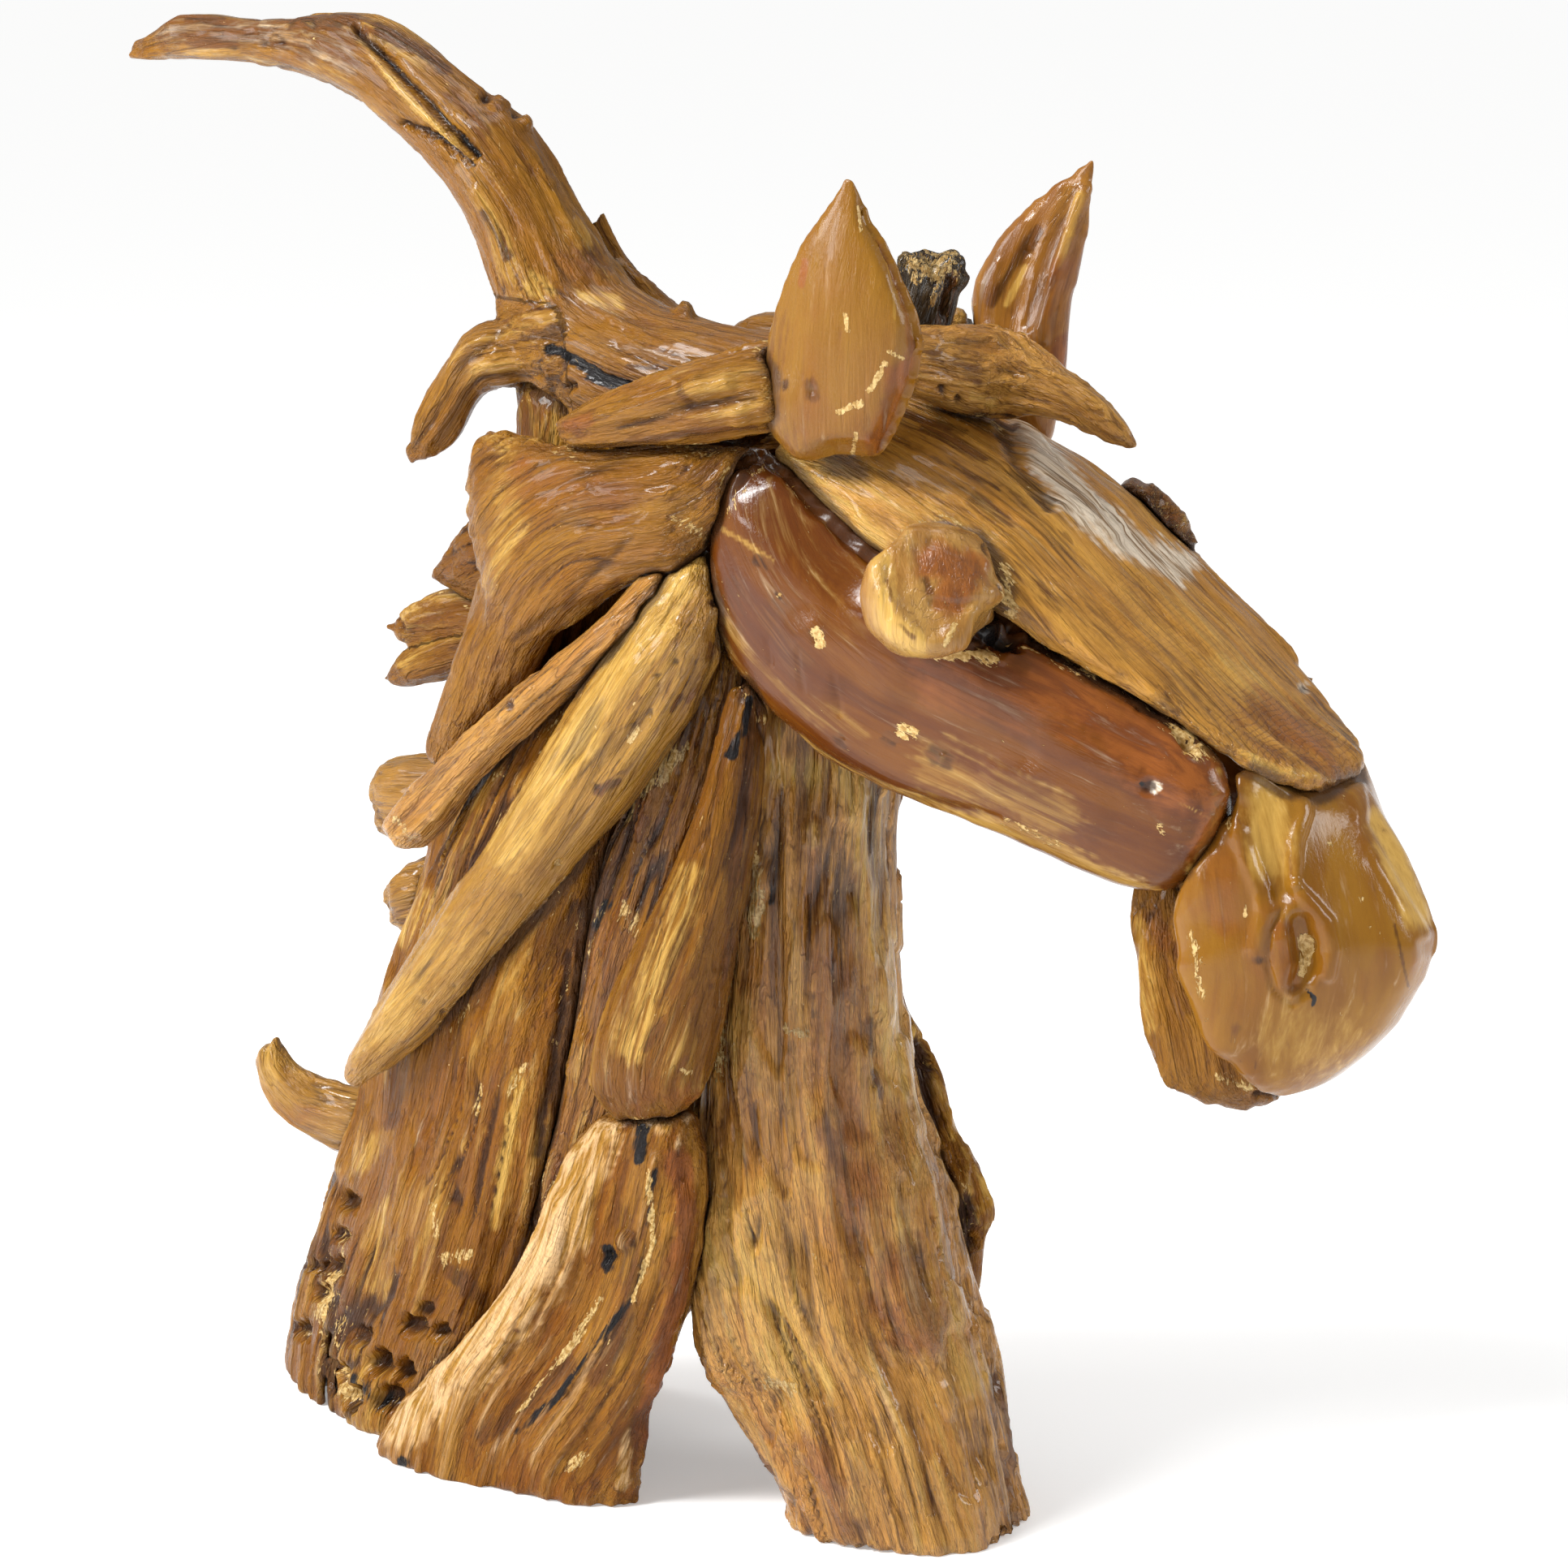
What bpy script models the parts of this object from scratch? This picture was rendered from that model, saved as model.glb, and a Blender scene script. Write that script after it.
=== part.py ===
"""Driftwood horse head sculpture: teak roots and carved blocks fastened into a head and neck.

The horse faces +X, its right side is -Y, and it stands on Z = 0 with the origin under the middle
of its bounding box. The free forms were sketched over a three-quarter view of the right side.
A sketch point is (right, down, side): millimetres right of and below the sheet's top left corner,
for a sculpture 916 mm tall, and its distance from the middle plane, positive to the horse's left.
"""

import math
import random

import bmesh
import bpy
from mathutils import Matrix, Vector
from mathutils.bvhtree import BVHTree

# Driving sizes, in metres
HEIGHT = 0.916
FIT_GAP = 0.0006
EAR_THICKNESS = 0.036
EYE_RADIUS = 0.041
EYE_LENGTH = 0.079
NOSTRIL_DEPTH = 0.011
CHEEK_HOLE_RADIUS = 0.0065
POLL_KNOB_RADIUS = 0.021

# The sketch sheet: its scale, its side, and where it is looked at from
SKETCH_HEIGHT = 916.0
MM = HEIGHT / SKETCH_HEIGHT
SHEET_CENTRE = 483.0
VIEW_TURN = math.radians(32.0)
VIEW_TILT = math.radians(13.0)
VIEW_DISTANCE = 3000.0
FLOOR_BELOW_CENTRE = 457.0

# Places and carving on the sheet, in its millimetres
EAR_TIP_SIDE = 118.0
EAR_FOOT_SIDE = 98.0
EYE_ROOT_SIDE = 79.0
NOSTRIL_PLACE = (800, 585, -62)
NOSTRIL_RIM = (21.0, 32.0, 8.0)
NOSTRIL_HOLLOW = (12.0, 21.0)
NOSTRIL_HOLLOW_OUT = 8.0
CHEEK_HOLE_PLACE = (707, 483, -80)
CHEEK_HOLE_LENGTH = 100.0
MUZZLE_BELOW_BOARD = 3.0
CROWN = 0.8

BACK = Vector((
    math.sin(VIEW_TURN) * math.cos(VIEW_TILT),
    -math.cos(VIEW_TURN) * math.cos(VIEW_TILT),
    math.sin(VIEW_TILT),
))
RIGHT = Vector((math.cos(VIEW_TURN), math.sin(VIEW_TURN), 0.0))
UP = BACK.cross(RIGHT)
EYE_POINT = BACK * VIEW_DISTANCE

# Finish of each kind of wood: colour, roughness
WOODS = {
    "raw_teak": ((0.46, 0.25, 0.085), 0.5),
    "dark_root": ((0.27, 0.13, 0.045), 0.5),
    "polished_teak": ((0.42, 0.17, 0.05), 0.25),
    "honey_teak": ((0.55, 0.30, 0.09), 0.25),
    "burnt_wood": ((0.06, 0.045, 0.035), 0.6),
}

UNCUT = {}


def at(right, down, side):
    """The point seen at a place on the sheet that lies on the plane Y = side."""
    ray = RIGHT * (right - SHEET_CENTRE) + UP * (SHEET_CENTRE - down) - EYE_POINT
    share = (side - EYE_POINT.y) / ray.y
    point = EYE_POINT + ray * share
    return Vector((point.x, side, point.z + FLOOR_BELOW_CENTRE)) * MM


def curve_between(points, share):
    """A Catmull-Rom curve through the points, which are Vectors or numbers, at share 0 to 1."""
    last = len(points) - 1
    place = min(max(share, 0.0), 1.0) * last
    i = min(int(place), last - 1)
    t = place - i
    before = points[max(i - 1, 0)]
    after = points[min(i + 2, last)]
    a, b = points[i], points[i + 1]
    return (
        b * (3 * t * t - 2 * t * t * t)
        + a * (1 - 3 * t * t + 2 * t * t * t)
        + (b - before) * 0.5 * (t - 2 * t * t + t * t * t)
        + (after - a) * 0.5 * (t * t * t - t * t)
    )


def wood_material(wood):
    found = bpy.data.materials.get(wood)
    if found:
        return found
    colour, roughness = WOODS[wood]
    material = bpy.data.materials.new(wood)
    material.use_nodes = True
    shader = material.node_tree.nodes["Principled BSDF"]
    shader.inputs["Base Color"].default_value = (*colour, 1.0)
    shader.inputs["Roughness"].default_value = roughness
    shader.inputs["Metallic"].default_value = 0.0
    material.diffuse_color = (*colour, 1.0)
    return material


def new_object(name, mesh, wood, collection):
    obj = bpy.data.objects.new(name, mesh)
    mesh.materials.append(wood_material(wood))
    collection.objects.link(obj)
    return obj


def skin(name, rings):
    """A closed mesh over rings of equal point counts, each end closed by a fan to its centre."""
    bm = bmesh.new()
    rows = [[bm.verts.new(point) for point in ring] for ring in rings]
    count = len(rings[0])
    for lower, upper in zip(rows, rows[1:]):
        for i in range(count):
            j = (i + 1) % count
            bm.faces.new((lower[i], lower[j], upper[j], upper[i]))
    for row in (rows[0], rows[-1]):
        centre = sum((vert.co for vert in row), Vector()) / count
        hub = bm.verts.new(centre)
        for i in range(count):
            bm.faces.new((row[i], row[(i + 1) % count], hub))
    bmesh.ops.triangulate(bm, faces=bm.faces[:])
    bmesh.ops.recalc_face_normals(bm, faces=bm.faces[:])
    mesh = bpy.data.meshes.new(name)
    bm.to_mesh(mesh)
    bm.free()
    return mesh


def power(value, exponent):
    return math.copysign(abs(value) ** exponent, value)


def root_rings(name, stations, sides, rings, boxy, rough, valley, mirrored, shift):
    """Rings of a root that runs through its stations, with seeded lobes as on weathered wood.

    A station is (right, down, side) of one edge, the same of the other edge, and half the thickness.
    A valley hollows the face towards the sheet's viewer, and a negative one the face turned away.
    """
    chance = random.Random(name)
    lobes = [(2, chance.uniform(0, 6.3)), (3, chance.uniform(0, 6.3)), (5, chance.uniform(0, 6.3))]
    first_edge = [at(*station[0]) for station in stations]
    other_edge = [at(*station[1]) for station in stations]
    halves = [station[2] * MM for station in stations]
    made = []
    normal = None
    for step in range(rings):
        share = step / (rings - 1)
        one = curve_between(first_edge, share)
        two = curve_between(other_edge, share)
        ahead = curve_between(first_edge, share + 0.02) + curve_between(other_edge, share + 0.02)
        behind = curve_between(first_edge, share - 0.02) + curve_between(other_edge, share - 0.02)
        along = (ahead - behind).normalized()
        half = curve_between(halves, share)
        reach = (two - one) * 0.5
        centre = (one + two) * 0.5
        across = reach.cross(along)
        if across.length > 0.2 * reach.length:
            across.normalize()
            normal = across if normal is None or across.dot(normal) > 0 else -across
        ring = []
        for k in range(sides):
            angle = 2 * math.pi * k / sides
            swell = 1.0
            for count, phase in lobes:
                swell += rough / count * math.sin(count * angle + phase + 5.0 * share * (count - 1))
            c = power(math.cos(angle), 2 / boxy)
            s = power(math.sin(angle), 2 / boxy)
            deep = abs(valley) if s * valley < 0 else 0.0
            dent = 1.0 - deep * math.exp(-7.0 * c * c) * math.sin(math.pi * min(share + 0.15, 1.0))
            ring.append(centre + reach * c * swell + normal * half * s * swell * dent)
        made.append(ring)
    if mirrored:
        made = [[Vector((p.x, -p.y, p.z)) for p in ring] for ring in made]
    offset = Vector(shift) * MM
    return [[p + offset for p in ring] for ring in made]


def root(
    name, stations, wood="raw_teak", sides=10, rings=None, boxy=2.2, rough=0.07,
    valley=0.0, mirrored=False, shift=(0, 0, 0),
):
    """A root or branch as a closed mesh object."""
    rings = rings or 2 * len(stations) - 1
    made = root_rings(name, stations, sides, rings, boxy, rough, valley, mirrored, shift)
    return new_object(name, skin(name, made), wood, PARTS)


def combine(obj, operation, other):
    """Applies one Boolean at once."""
    modifier = obj.modifiers.new("cut", "BOOLEAN")
    modifier.operation = operation
    modifier.object = other
    modifier.solver = "EXACT"
    graph = bpy.context.evaluated_depsgraph_get()
    mesh = bpy.data.meshes.new_from_object(obj.evaluated_get(graph))
    obj.modifiers.clear()
    old = obj.data
    obj.data = mesh
    bpy.data.meshes.remove(old)
    tidy(obj)


def tidy(obj):
    """Keeps the largest body of a cut mesh and dissolves its slivers."""
    bm = bmesh.new()
    bm.from_mesh(obj.data)
    bmesh.ops.remove_doubles(bm, verts=bm.verts[:], dist=0.00004)
    bmesh.ops.dissolve_degenerate(bm, edges=bm.edges[:], dist=0.00004)
    islands = []
    left = set(bm.verts)
    while left:
        island, front = set(), [left.pop()]
        while front:
            vert = front.pop()
            island.add(vert)
            for edge in vert.link_edges:
                other = edge.other_vert(vert)
                if other in left:
                    left.discard(other)
                    front.append(other)
        islands.append(island)
    islands.sort(key=island_size)
    for island in islands[:-1]:
        bmesh.ops.delete(bm, geom=list(island), context="VERTS")
    bmesh.ops.dissolve_limit(
        bm, angle_limit=math.radians(0.8), verts=bm.verts[:], edges=bm.edges[:]
    )
    bmesh.ops.triangulate(bm, faces=bm.faces[:])
    bm.to_mesh(obj.data)
    bm.free()


def island_size(island):
    spans = [
        max(vert.co[axis] for vert in island) - min(vert.co[axis] for vert in island)
        for axis in range(3)
    ]
    return spans[0] * spans[1] * spans[2]


def tree_of(mesh):
    corners = [vert.co.copy() for vert in mesh.vertices]
    mesh.calc_loop_triangles()
    faces = [tuple(triangle.vertices) for triangle in mesh.loop_triangles]
    return BVHTree.FromPolygons(corners, faces)


def touches(obj, other):
    return bool(tree_of(obj.data).overlap(tree_of(other.data)))


def grown_copy(obj, gap):
    """A cutter: the object's mesh with every point moved outwards, so that what it cuts clears it."""
    mesh = obj.data.copy()
    bm = bmesh.new()
    bm.from_mesh(mesh)
    bm.normal_update()
    moved = [vert.co + vert.normal * gap for vert in bm.verts]
    for vert, place in zip(bm.verts, moved):
        vert.co = place
    bm.to_mesh(mesh)
    bm.free()
    cutter = bpy.data.objects.new("cutter_" + obj.name, mesh)
    cutter.hide_render = True
    cutter.display_type = "WIRE"
    CUTTERS.objects.link(cutter)
    return cutter


def cut_flat(obj, point, outward):
    """Saws off all that lies beyond a plane, and closes the cut."""
    bm = bmesh.new()
    bm.from_mesh(obj.data)
    bmesh.ops.bisect_plane(
        bm, geom=bm.verts[:] + bm.edges[:] + bm.faces[:],
        plane_co=point, plane_no=outward, clear_outer=True,
    )
    rim = [edge for edge in bm.edges if edge.is_boundary]
    bmesh.ops.contextual_create(bm, geom=rim)
    bmesh.ops.triangulate(bm, faces=bm.faces[:])
    bmesh.ops.recalc_face_normals(bm, faces=bm.faces[:])
    bm.to_mesh(obj.data)
    bm.free()


def stand_on_floor(obj):
    cut_flat(obj, (0, 0, 0), (0, 0, -1))


def settle(obj):
    """Trims the piece where it would share room with an earlier one, as that was before its cuts."""
    earlier = list(UNCUT.values())
    UNCUT[obj.name] = grown_copy(obj, FIT_GAP)
    bpy.context.view_layer.update()
    for cutter in earlier:
        if touches(obj, cutter):
            combine(obj, "DIFFERENCE", cutter)
    return obj


def clear_scene():
    for obj in list(bpy.data.objects):
        bpy.data.objects.remove(obj, do_unlink=True)


def new_collection(name):
    collection = bpy.data.collections.new(name)
    bpy.context.scene.collection.children.link(collection)
    return collection


clear_scene()
PARTS = new_collection("driftwood_horse_head")
CUTTERS = new_collection("cutters")


# Neck: the post at the front and the long root down the nape

def neck_post():
    stations = [
        ((465, 292, -42), (552, 296, 42), 45),
        ((452, 372, -46), (550, 380, 42), 55),
        ((444, 455, -46), (550, 465, 38), 60),
        ((437, 528, -44), (553, 530, 36), 62),
        ((432, 600, -44), (556, 600, 34), 62),
        ((429, 666, -46), (563, 668, 34), 62),
        ((425, 735, -50), (586, 726, 36), 62),
        ((426, 800, -58), (604, 800, 36), 62),
        ((434, 842, -58), (617, 845, 38), 62),
        ((465, 878, -58), (621, 882, 32), 60),
        ((481, 920, -56), (629, 920, 30), 58),
        ((495, 955, -56), (634, 950, 28), 58),
        ((506, 990, -56), (640, 980, 26), 58),
    ]
    post = root("neck_post", stations, sides=12, rings=15, rough=0.06)
    stand_on_floor(post)
    return settle(post)


def nape_root():
    stations = [
        ((322, 222, -30), (420, 232, 30), 36),
        ((318, 270, -34), (430, 275, 34), 42),
        ((306, 330, -36), (412, 335, 36), 44),
        ((300, 400, -36), (400, 405, 36), 44),
        ((284, 460, -36), (382, 470, 36), 44),
        ((266, 520, -34), (366, 530, 36), 44),
        ((256, 580, -34), (352, 590, 36), 44),
        ((240, 650, -34), (336, 660, 36), 44),
        ((222, 720, -34), (322, 730, 36), 44),
        ((204, 790, -34), (306, 800, 36), 46),
        ((196, 850, -34), (300, 860, 38), 46),
        ((196, 900, -34), (300, 905, 38), 46),
    ]
    nape = root("nape_root", stations, sides=9, rings=12, rough=0.09)
    stand_on_floor(nape)
    return settle(nape)


# Head: face board, muzzle, cheeks and chin

def face_board():
    """A half-round board over the head: its right edge, half width, ridge and edge thickness."""
    stations = [
        ((475, 276), 85, (540, 226), 12),
        ((500, 296), 95, (570, 236), 13),
        ((540, 330), 103, (615, 256), 14),
        ((600, 361), 104, (668, 296), 14),
        ((660, 397), 95, (712, 352), 14),
        ((715, 432), 85, (754, 398), 13),
        ((760, 466), 68, (789, 437), 12),
        ((798, 481), 46, (817, 461), 10),
        ((818, 484), 22, (829, 474), 8),
    ]
    edges = [at(*station[0], -station[1]) for station in stations]
    ridges = [at(*station[2], 0) for station in stations]
    depths = [station[3] * MM for station in stations]
    rings = []
    count = 14
    for step in range(count):
        share = step / (count - 1)
        edge = curve_between(edges, share)
        ridge = curve_between(ridges, share)
        depth = curve_between(depths, share)
        middle = Vector((edge.x, 0, edge.z))
        rise = ridge - middle
        half = -edge.y
        fall = rise.normalized() * depth
        ring = []
        for k in range(9):
            angle = math.pi * k / 8
            crown = CROWN * math.sin(angle) ** 0.85
            ring.append(middle + Vector((0, -half * math.cos(angle), 0)) + rise * crown)
        for k in (0.9, 0.5, -0.5, -0.9):
            ring.append(middle + Vector((0, half * k, 0)) - fall)
        rings.append(ring)
    board = new_object("face_board", skin("face_board", rings), "raw_teak", PARTS)
    return settle(board)


def block_level(rear, front, rear_half, front_half):
    """A level ring of a head block: a flat back, sides that draw in, and a narrow flat front."""
    back = at(*rear, -rear_half)
    nose = at(*front, front_half)
    height = (back.z + nose.z) / 2
    length = nose.x - back.x
    wide, narrow = rear_half * MM, front_half * MM
    outline = [
        (0.0, 0.0), (0.0, 0.7), (0.06, 0.95), (0.3, 0.97), (0.62, 0.72), (0.9, 0.2), (1.0, 0.0),
    ]
    right = []
    for ahead, part in outline:
        half = narrow + (wide - narrow) * part if ahead > 0.1 else wide * part
        right.append((back.x + length * ahead, -half))
    ring = [Vector((x, y, height)) for x, y in right]
    ring += [Vector((x, -y, height)) for x, y in reversed(right[1:])]
    return ring


def ellipsoid(name, centre, sizes, outward):
    """A helper body: half its width, half its height, and half its depth along outward."""
    bm = bmesh.new()
    bmesh.ops.create_icosphere(bm, subdivisions=2, radius=1.0)
    side = Vector((0, 0, 1)).cross(outward).normalized()
    up = outward.cross(side).normalized()
    axes = Matrix((side * sizes[0], up * sizes[1], outward.normalized() * sizes[2])).transposed()
    for vert in bm.verts:
        vert.co = centre + axes @ vert.co
    bmesh.ops.recalc_face_normals(bm, faces=bm.faces[:])
    mesh = bpy.data.meshes.new(name)
    bm.to_mesh(mesh)
    bm.free()
    return new_object(name, mesh, "honey_teak", CUTTERS)


def drill(name, centre, radius, length):
    """A helper body: a round bar along Y."""
    bm = bmesh.new()
    turn = Matrix.Translation(centre) @ Matrix.Rotation(math.radians(90), 4, "X")
    bmesh.ops.create_cone(
        bm, cap_ends=True, segments=10, radius1=radius, radius2=radius, depth=length, matrix=turn
    )
    mesh = bpy.data.meshes.new(name)
    bm.to_mesh(mesh)
    bm.free()
    return new_object(name, mesh, "honey_teak", CUTTERS)


def muzzle():
    levels = [
        ((772, 455), (814, 468), 62, 10),
        ((764, 470), (832, 483), 66, 12),
        ((756, 495), (847, 508), 72, 14),
        ((742, 528), (868, 535), 77, 16),
        ((726, 556), (882, 565), 80, 17),
        ((728, 575), (888, 589), 80, 17),
        ((739, 605), (878, 613), 76, 17),
        ((755, 631), (862, 641), 68, 16),
        ((774, 650), (844, 660), 56, 15),
        ((790, 667), (822, 675), 38, 12),
    ]
    rings = [block_level(*level) for level in levels]
    block = new_object("muzzle", skin("muzzle", rings), "honey_teak", PARTS)
    # its top is sawn along the under edge of the face board
    higher, lower = at(715, 432, -85), at(798, 481, -46)
    slope = Vector((lower.x - higher.x, 0, lower.z - higher.z))
    sawn = (lower.x, 0, lower.z - MUZZLE_BELOW_BOARD * MM)
    cut_flat(block, sawn, Vector((-slope.z, 0, slope.x)).normalized())
    centre = at(*NOSTRIL_PLACE)
    for sign in (-1, 1):
        place = Vector((centre.x, -sign * centre.y, centre.z))
        outward = Vector((0.53, sign * 0.85, 0.0))
        rim = ellipsoid("rim", place, [size * MM for size in NOSTRIL_RIM], outward)
        combine(block, "UNION", rim)
        bpy.data.objects.remove(rim)
        wide, high = (size * MM for size in NOSTRIL_HOLLOW)
        hollow = ellipsoid(
            "hollow", place + outward * NOSTRIL_HOLLOW_OUT * MM, (wide, high, NOSTRIL_DEPTH), outward
        )
        combine(block, "DIFFERENCE", hollow)
        bpy.data.objects.remove(hollow)
    return settle(block)


def cheek(name, mirrored):
    stations = [
        ((463, 276, -78), (458, 286, -76), 8),
        ((478, 278, -86), (447, 312, -80), 22),
        ((504, 294, -86), (440, 354, -84), 27),
        ((528, 320, -88), (448, 396, -80), 30),
        ((558, 342, -88), (473, 430, -74), 32),
        ((592, 364, -86), (513, 468, -64), 33),
        ((630, 388, -84), (563, 491, -58), 33),
        ((672, 413, -82), (617, 511, -56), 32),
        ((713, 439, -79), (668, 534, -56), 29),
        ((746, 463, -76), (712, 552, -56), 25),
        ((757, 490, -76), (738, 540, -60), 17),
    ]
    piece = root(
        name, stations, "polished_teak", sides=12, rings=13, boxy=2.6, rough=0.02, mirrored=mirrored
    )
    hole = at(*CHEEK_HOLE_PLACE)
    if mirrored:
        hole.y = -hole.y
    bar = drill("bar", hole, CHEEK_HOLE_RADIUS, CHEEK_HOLE_LENGTH * MM)
    combine(piece, "DIFFERENCE", bar)
    bpy.data.objects.remove(bar)
    return settle(piece)


def chin():
    stations = [
        ((698, 522), (784, 538), 44, 24),
        ((690, 545), (790, 561), 50, 30),
        ((692, 562), (798, 587), 54, 32),
        ((696, 590), (808, 613), 58, 34),
        ((699, 620), (815, 641), 60, 34),
        ((704, 646), (815, 655), 60, 32),
        ((714, 663), (812, 666), 56, 28),
        ((733, 674), (806, 671), 46, 26),
        ((762, 680), (792, 677), 30, 20),
    ]
    rings = [block_level(*level) for level in stations]
    block = new_object("chin", skin("chin", rings), "raw_teak", PARTS)
    return settle(block)


neck_post()
nape_root()
face_board()
muzzle()
cheek("cheek_right", False)
cheek("cheek_left", True)
chin()


# Crest: the great forked root that sweeps back over the poll, and its partner on the left

def crest_root():
    stations = [
        ((79, 36, 18), (81, 25, 20), 4),
        ((99, 37, 16), (107, 13, 18), 11),
        ((130, 35, 12), (129, 9, 14), 13),
        ((168, 39, 6), (172, 15, 8), 13),
        ((201, 49, 0), (210, 7, 2), 19),
        ((233, 66, -6), (247, 18, -2), 23),
        ((255, 89, -10), (282, 44, -6), 26),
        ((281, 117, -14), (321, 70, -8), 29),
        ((300, 151, -18), (343, 106, -10), 31),
        ((312, 187, -22), (367, 148, -10), 34),
        ((318, 213, -26), (395, 181, -12), 38),
        ((333, 240, -32), (434, 196, -16), 42),
        ((360, 262, -40), (470, 203, -22), 44),
        ((402, 276, -44), (505, 212, -26), 38),
        ((450, 282, -40), (530, 226, -24), 24),
    ]
    crest = root("crest_root", stations, sides=11, rings=21, rough=0.07)
    prong_stations = [
        ((345, 232, -36), (335, 200, -36), 16),
        ((322, 240, -40), (307, 196, -42), 18),
        ((300, 242, -44), (288, 206, -48), 17),
        ((289, 262, -48), (262, 244, -54), 14),
        ((281, 276, -50), (252, 266, -58), 11),
        ((263, 284, -52), (246, 284, -60), 4),
    ]
    prong = root("crest_prong", prong_stations, sides=8, rings=11)
    combine(crest, "UNION", prong)
    bpy.data.objects.remove(prong)
    return settle(crest)


def crest_root_left():
    stations = [
        ((361, 136, 36), (373, 129, 38), 9),
        ((366, 152, 36), (380, 145, 38), 11),
        ((386, 178, 32), (396, 168, 34), 13),
        ((408, 204, 30), (420, 190, 32), 15),
        ((440, 224, 28), (450, 204, 32), 18),
        ((478, 238, 26), (476, 187, 34), 20),
        ((515, 246, 30), (505, 205, 36), 16),
    ]
    branch = root("crest_root_left", stations, sides=8, rings=10, rough=0.08)
    return settle(branch)


# Ears, eyes and poll

def ear(name, stations, sign, valley):
    """A flat leaf-shaped ear that leans outwards from its foot on the face board."""
    half = EAR_THICKNESS / 2 / MM
    rows = []
    for i, (left, right, part) in enumerate(stations):
        side = sign * (EAR_TIP_SIDE + (EAR_FOOT_SIDE - EAR_TIP_SIDE) * i / (len(stations) - 1))
        rows.append(((*left, side), (*right, side), half * part))
    piece = root(
        name, rows, "honey_teak", sides=12, rings=11, boxy=1.9, rough=0.0, valley=valley
    )
    return settle(piece)


def ears():
    ear("ear_right", [
        ((521, 110), (526, 110), 0.15),
        ((502, 134), (542, 141), 0.5),
        ((484, 167), (557, 171), 0.8),
        ((473, 200), (569, 202), 0.95),
        ((470, 232), (568, 230), 1.0),
        ((475, 260), (556, 260), 1.0),
        ((487, 279), (543, 284), 0.8),
        ((504, 290), (534, 296), 0.5),
    ], -1, -0.7)
    ear("ear_left", [
        ((668, 101), (676, 102), 0.15),
        ((646, 122), (674, 133), 0.5),
        ((620, 148), (667, 162), 0.8),
        ((603, 175), (661, 187), 0.95),
        ((599, 200), (659, 211), 1.0),
        ((605, 226), (656, 237), 1.0),
        ((620, 254), (650, 262), 0.8),
        ((632, 272), (648, 276), 0.5),
    ], 1, 0.7)


def eye_knob(name, centre, sign, root_side, length, radius):
    """A sawn stub of branch from the face board outwards, with one facet polished off its end."""
    rings = []
    reach = root_side * MM + length
    for out, size in ((0, 0.75), (0.32, 0.95), (0.6, 1.03), (0.82, 0.97), (0.94, 0.8), (1, 0.5)):
        ring = []
        for k in range(10):
            angle = 2 * math.pi * k / 10
            wide = size * radius * (1.0 + 0.06 * math.sin(3 * angle + 2.0 + out))
            tilt = sign * 0.1 * math.cos(angle) * wide
            ring.append(Vector((
                centre.x + math.cos(angle) * wide,
                sign * (root_side * MM + out * length) + tilt,
                centre.z + 0.95 * math.sin(angle) * wide,
            )))
        rings.append(ring)
    knob = new_object(name, skin(name, rings), "raw_teak", PARTS)
    outward = Vector((0.5, sign * 0.72, 0.48)).normalized()
    cut_flat(knob, Vector((centre.x, sign * reach, centre.z)) - outward * radius * 0.12, outward)
    return settle(knob)


def forelock():
    stations = [
        ((524, 206, -96), (522, 234, -96), 15),
        ((554, 202, -50), (551, 238, -42), 19),
        ((590, 201, -14), (583, 252, 2), 24),
        ((618, 204, 6), (614, 257, 24), 24),
        ((640, 218, 12), (636, 256, 26), 20),
        ((667, 235, 12), (657, 260, 20), 14),
        ((687, 251, 12), (677, 269, 16), 9),
        ((701, 275, 16), (698, 278, 16), 4),
    ]
    piece = root("forelock_root", stations, sides=9, rings=11, rough=0.1)
    return settle(piece)


def poll_knob():
    radius = POLL_KNOB_RADIUS / MM
    stations = [
        ((560 - radius, 232, 12), (560 + radius, 232, 30), radius * 0.9),
        ((566 - radius, 200, 12), (566 + radius, 204, 30), radius * 0.95),
        ((574 - radius, 174, 12), (574 + radius, 178, 30), radius),
        ((576 - 0.7 * radius, 155, 14), (576 + 0.7 * radius, 159, 28), radius * 0.6),
    ]
    knob = root("poll_knob", stations, "burnt_wood", sides=9, rings=7, rough=0.12)
    return settle(knob)


# Right side of the neck: slabs, foot and the strands of the mane

PLATE = [
    ((466, 272, -93), (461, 286, -93), 7),
    ((431, 271, -102), (435, 346, -100), 21),
    ((390, 274, -103), (396, 357, -102), 25),
    ((350, 273, -98), (368, 374, -102), 25),
    ((314, 266, -82), (346, 390, -100), 24),
    ((297, 268, -70), (330, 404, -96), 22),
    ((311, 330, -66), (322, 414, -92), 20),
    ((299, 372, -64), (308, 430, -88), 19),
    ((285, 410, -64), (297, 444, -84), 17),
    ((270, 447, -66), (284, 462, -80), 13),
    ((263, 465, -70), (272, 474, -78), 5),
]
SLAB = [
    ((350, 400, -66), (400, 405, -82), 16),
    ((318, 450, -60), (384, 458, -90), 24),
    ((292, 495, -54), (374, 500, -88), 28),
    ((268, 536, -46), (364, 548, -86), 30),
    ((247, 590, -34), (354, 600, -84), 31),
    ((233, 650, -22), (346, 662, -84), 32),
    ((218, 710, -8), (332, 720, -82), 33),
    ((194, 770, 6), (320, 772, -76), 34),
    ((181, 820, 16), (306, 822, -70), 34),
    ((179, 850, 22), (290, 868, -64), 34),
    ((183, 900, 26), (280, 910, -60), 34),
]
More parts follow.
